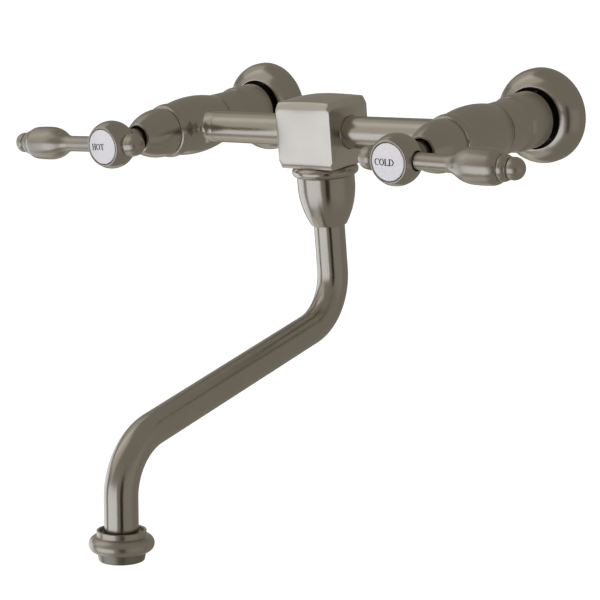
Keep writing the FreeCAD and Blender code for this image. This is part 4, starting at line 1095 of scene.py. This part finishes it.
button_word("hot", "HOT", -2.8)
button_word("cold", "COLD", -1.9)

# %% [markdown]
# ## Studio
# The floor is a large pale plane well below the faucet. Softboxes light the faucet only, through light
# linking, so that no edge of their light shows on the floor, and a broad sun lights both.

# %% Floor
def pale_floor():
    material, shader = new_material("studio_floor", (0.9, 0.9, 0.9), 0.0, 0.9)
    mottle = noise(material, coordinates(material, "Object", UNSCALED), 3.0, 2.0)
    two_tones(material, shader, mottle, (0.90, 0.90, 0.90), (0.92, 0.92, 0.92))
    return material


def sheet_of(name, width, height, matrix, material):
    """A flat sheet for the studio, which isn't part of the faucet."""
    mesh = bpy.data.meshes.new(name)
    bm = bmesh.new()
    bmesh.ops.create_grid(bm, x_segments=1, y_segments=1, size=0.5)
    bmesh.ops.scale(bm, vec=(width, height, 1.0), verts=bm.verts)
    bmesh.ops.transform(bm, matrix=matrix, verts=bm.verts)
    bm.to_mesh(mesh)
    bm.free()
    mesh.materials.append(material)
    thing = bpy.data.objects.new(name, mesh)
    bpy.context.scene.collection.objects.link(thing)
    return thing


FLOOR_WIDE = 24.0
FLOOR_HEIGHT = -0.42
floor = sheet_of("floor", FLOOR_WIDE, FLOOR_WIDE, Matrix.Translation((0, 0, FLOOR_HEIGHT)), pale_floor())
floor.visible_glossy = False
print("floor at Z =", FLOOR_HEIGHT, "m")

# %% [markdown]
# A softbox's strength is given as its brightness, which is what its reflection in the metal shows. Two
# bright ones stand side by side with a gap between them, one on the left and one in front, so an upright tube
# shows two bright bands and a dark line. Two weaker ones close by, above and below the gap, do the same for
# the level tubes. The other four are dim: behind, above and below on the left, and one on the right.

# %% Softboxes
OBJECT_MIDDLE = Vector((0.0, -0.14, -0.08))
faucet_only = bpy.data.collections.new("not_the_floor")
faucet_only.objects.link(floor)
faucet_only.collection_objects[0].light_linking.link_state = "EXCLUDE"


def direction(azimuth, elevation):
    """A direction from the object: azimuth 0 is the room and 90 is +X."""
    a, e = math.radians(azimuth), math.radians(elevation)
    return Vector((math.sin(a) * math.cos(e), -math.cos(a) * math.cos(e), math.sin(e)))


def span(degrees, away):
    """How long a light is that covers an angle at a distance."""
    return 2 * away * math.tan(math.radians(degrees) / 2)


def softbox(name, azimuths, elevations, away, strength, colour):
    """A rectangular light that covers the given angles as the faucet sees them."""
    light = bpy.data.lights.new(name, "AREA")
    light.shape = "RECTANGLE"
    light.size = span(azimuths[1] - azimuths[0], away)
    light.size_y = span(elevations[1] - elevations[0], away)
    light.color = colour
    light.energy = strength * light.size * light.size_y * math.pi
    holder = bpy.data.objects.new(name, light)
    bpy.context.scene.collection.objects.link(holder)
    holder.location = OBJECT_MIDDLE + direction(sum(azimuths) / 2, sum(elevations) / 2) * away
    holder.rotation_euler = (OBJECT_MIDDLE - holder.location).to_track_quat("-Z", "Y").to_euler()
    holder.visible_camera = False
    holder.light_linking.receiver_collection = faucet_only


COOL = (1.0, 1.07, 1.21)
softbox("left_softbox", (-114, -68), (-34, 9), 2.0, 0.76, COOL)
softbox("right_softbox", (-51, 13), (-34, 8), 2.0, 0.72, COOL)
softbox("rear_left_softbox", (-140, -120), (-8, 12), 2.2, 0.10, (1.0, 1.01, 1.02))
softbox("upper_softbox", (-116, -64), (24, 62), 2.2, 0.22, (1.0, 0.98, 0.94))
softbox("high_front_softbox", (-74, -29), (13, 68), 1.0, 0.30, (1.0, 0.99, 0.96))
softbox("low_front_softbox", (-74, -29), (-70, -39), 1.0, 0.26, (1.0, 1.0, 0.98))
softbox("dim_softbox", (54, 114), (-32, 10), 2.2, 0.06, (1.0, 0.96, 0.88))
softbox("low_softbox", (-140, -80), (-60, -37), 1.6, 0.30, (1.0, 1.0, 0.96))
print("eight softboxes round the faucet")

# %% [markdown]
# The sun is so wide that it acts as an even light from above, and its energy sets how white the porcelain
# and the floor are. It isn't seen in the metal. A black cloth on the right is seen only in the metal, and
# gives the tubes their dark line on that side.

# %% Sun and black cloth
SUN_ENERGY = 3.1
SUN_WIDE = math.radians(100.0)
sun = bpy.data.lights.new("overhead", "SUN")
sun.energy = SUN_ENERGY
sun.angle = SUN_WIDE
overhead = bpy.data.objects.new("overhead", sun)
bpy.context.scene.collection.objects.link(overhead)
overhead.visible_glossy = False

CLOTH_TONES = ((0.01, 0.01, 0.01), (0.015, 0.015, 0.015))
CLOTH_AWAY = 2.0
black_cloth = plain_finish("black_cloth", CLOTH_TONES, 0.0, 0.9, 5.0, 0.0001)


def flag(name, azimuth, elevation, width, height):
    """A hanging black cloth that only reflections see."""
    place = OBJECT_MIDDLE + direction(azimuth, elevation) * CLOTH_AWAY
    turn = (OBJECT_MIDDLE - place).to_track_quat("Z", "Y").to_matrix().to_4x4()
    cloth = sheet_of(name, width, height, Matrix.Translation(place) @ turn, black_cloth)
    cloth.visible_camera = False
    cloth.visible_shadow = False
    cloth.visible_diffuse = False


flag("right_flag", 42.0, -8.0, 0.62, 1.7)
print("sun of energy", SUN_ENERGY, "and one black cloth")

# %% [markdown]
# The air round the faucet is white where it is looked at and a warm grey in reflections, where it stands for
# the unlit walls of the studio.

# %% Air
WALL_GREY = (0.262, 0.248, 0.218, 1.0)
WHITE = (1.0, 1.0, 1.0, 1.0)
world = bpy.data.worlds.new("studio_air")
bpy.context.scene.world = world
world.use_nodes = True
background = world.node_tree.nodes["Background"]
ray = world.node_tree.nodes.new("ShaderNodeLightPath")
choice = world.node_tree.nodes.new("ShaderNodeMix")
choice.data_type = "RGBA"
choice.inputs["A"].default_value = WALL_GREY
choice.inputs["B"].default_value = WHITE
world.node_tree.links.new(ray.outputs["Is Camera Ray"], choice.inputs["Factor"])
world.node_tree.links.new(choice.outputs["Result"], background.inputs["Color"])
bpy.context.scene.view_settings.view_transform = "Standard"

# %% [markdown]
# Last, the view layer is updated.

# %% Finish
bpy.context.view_layer.update()
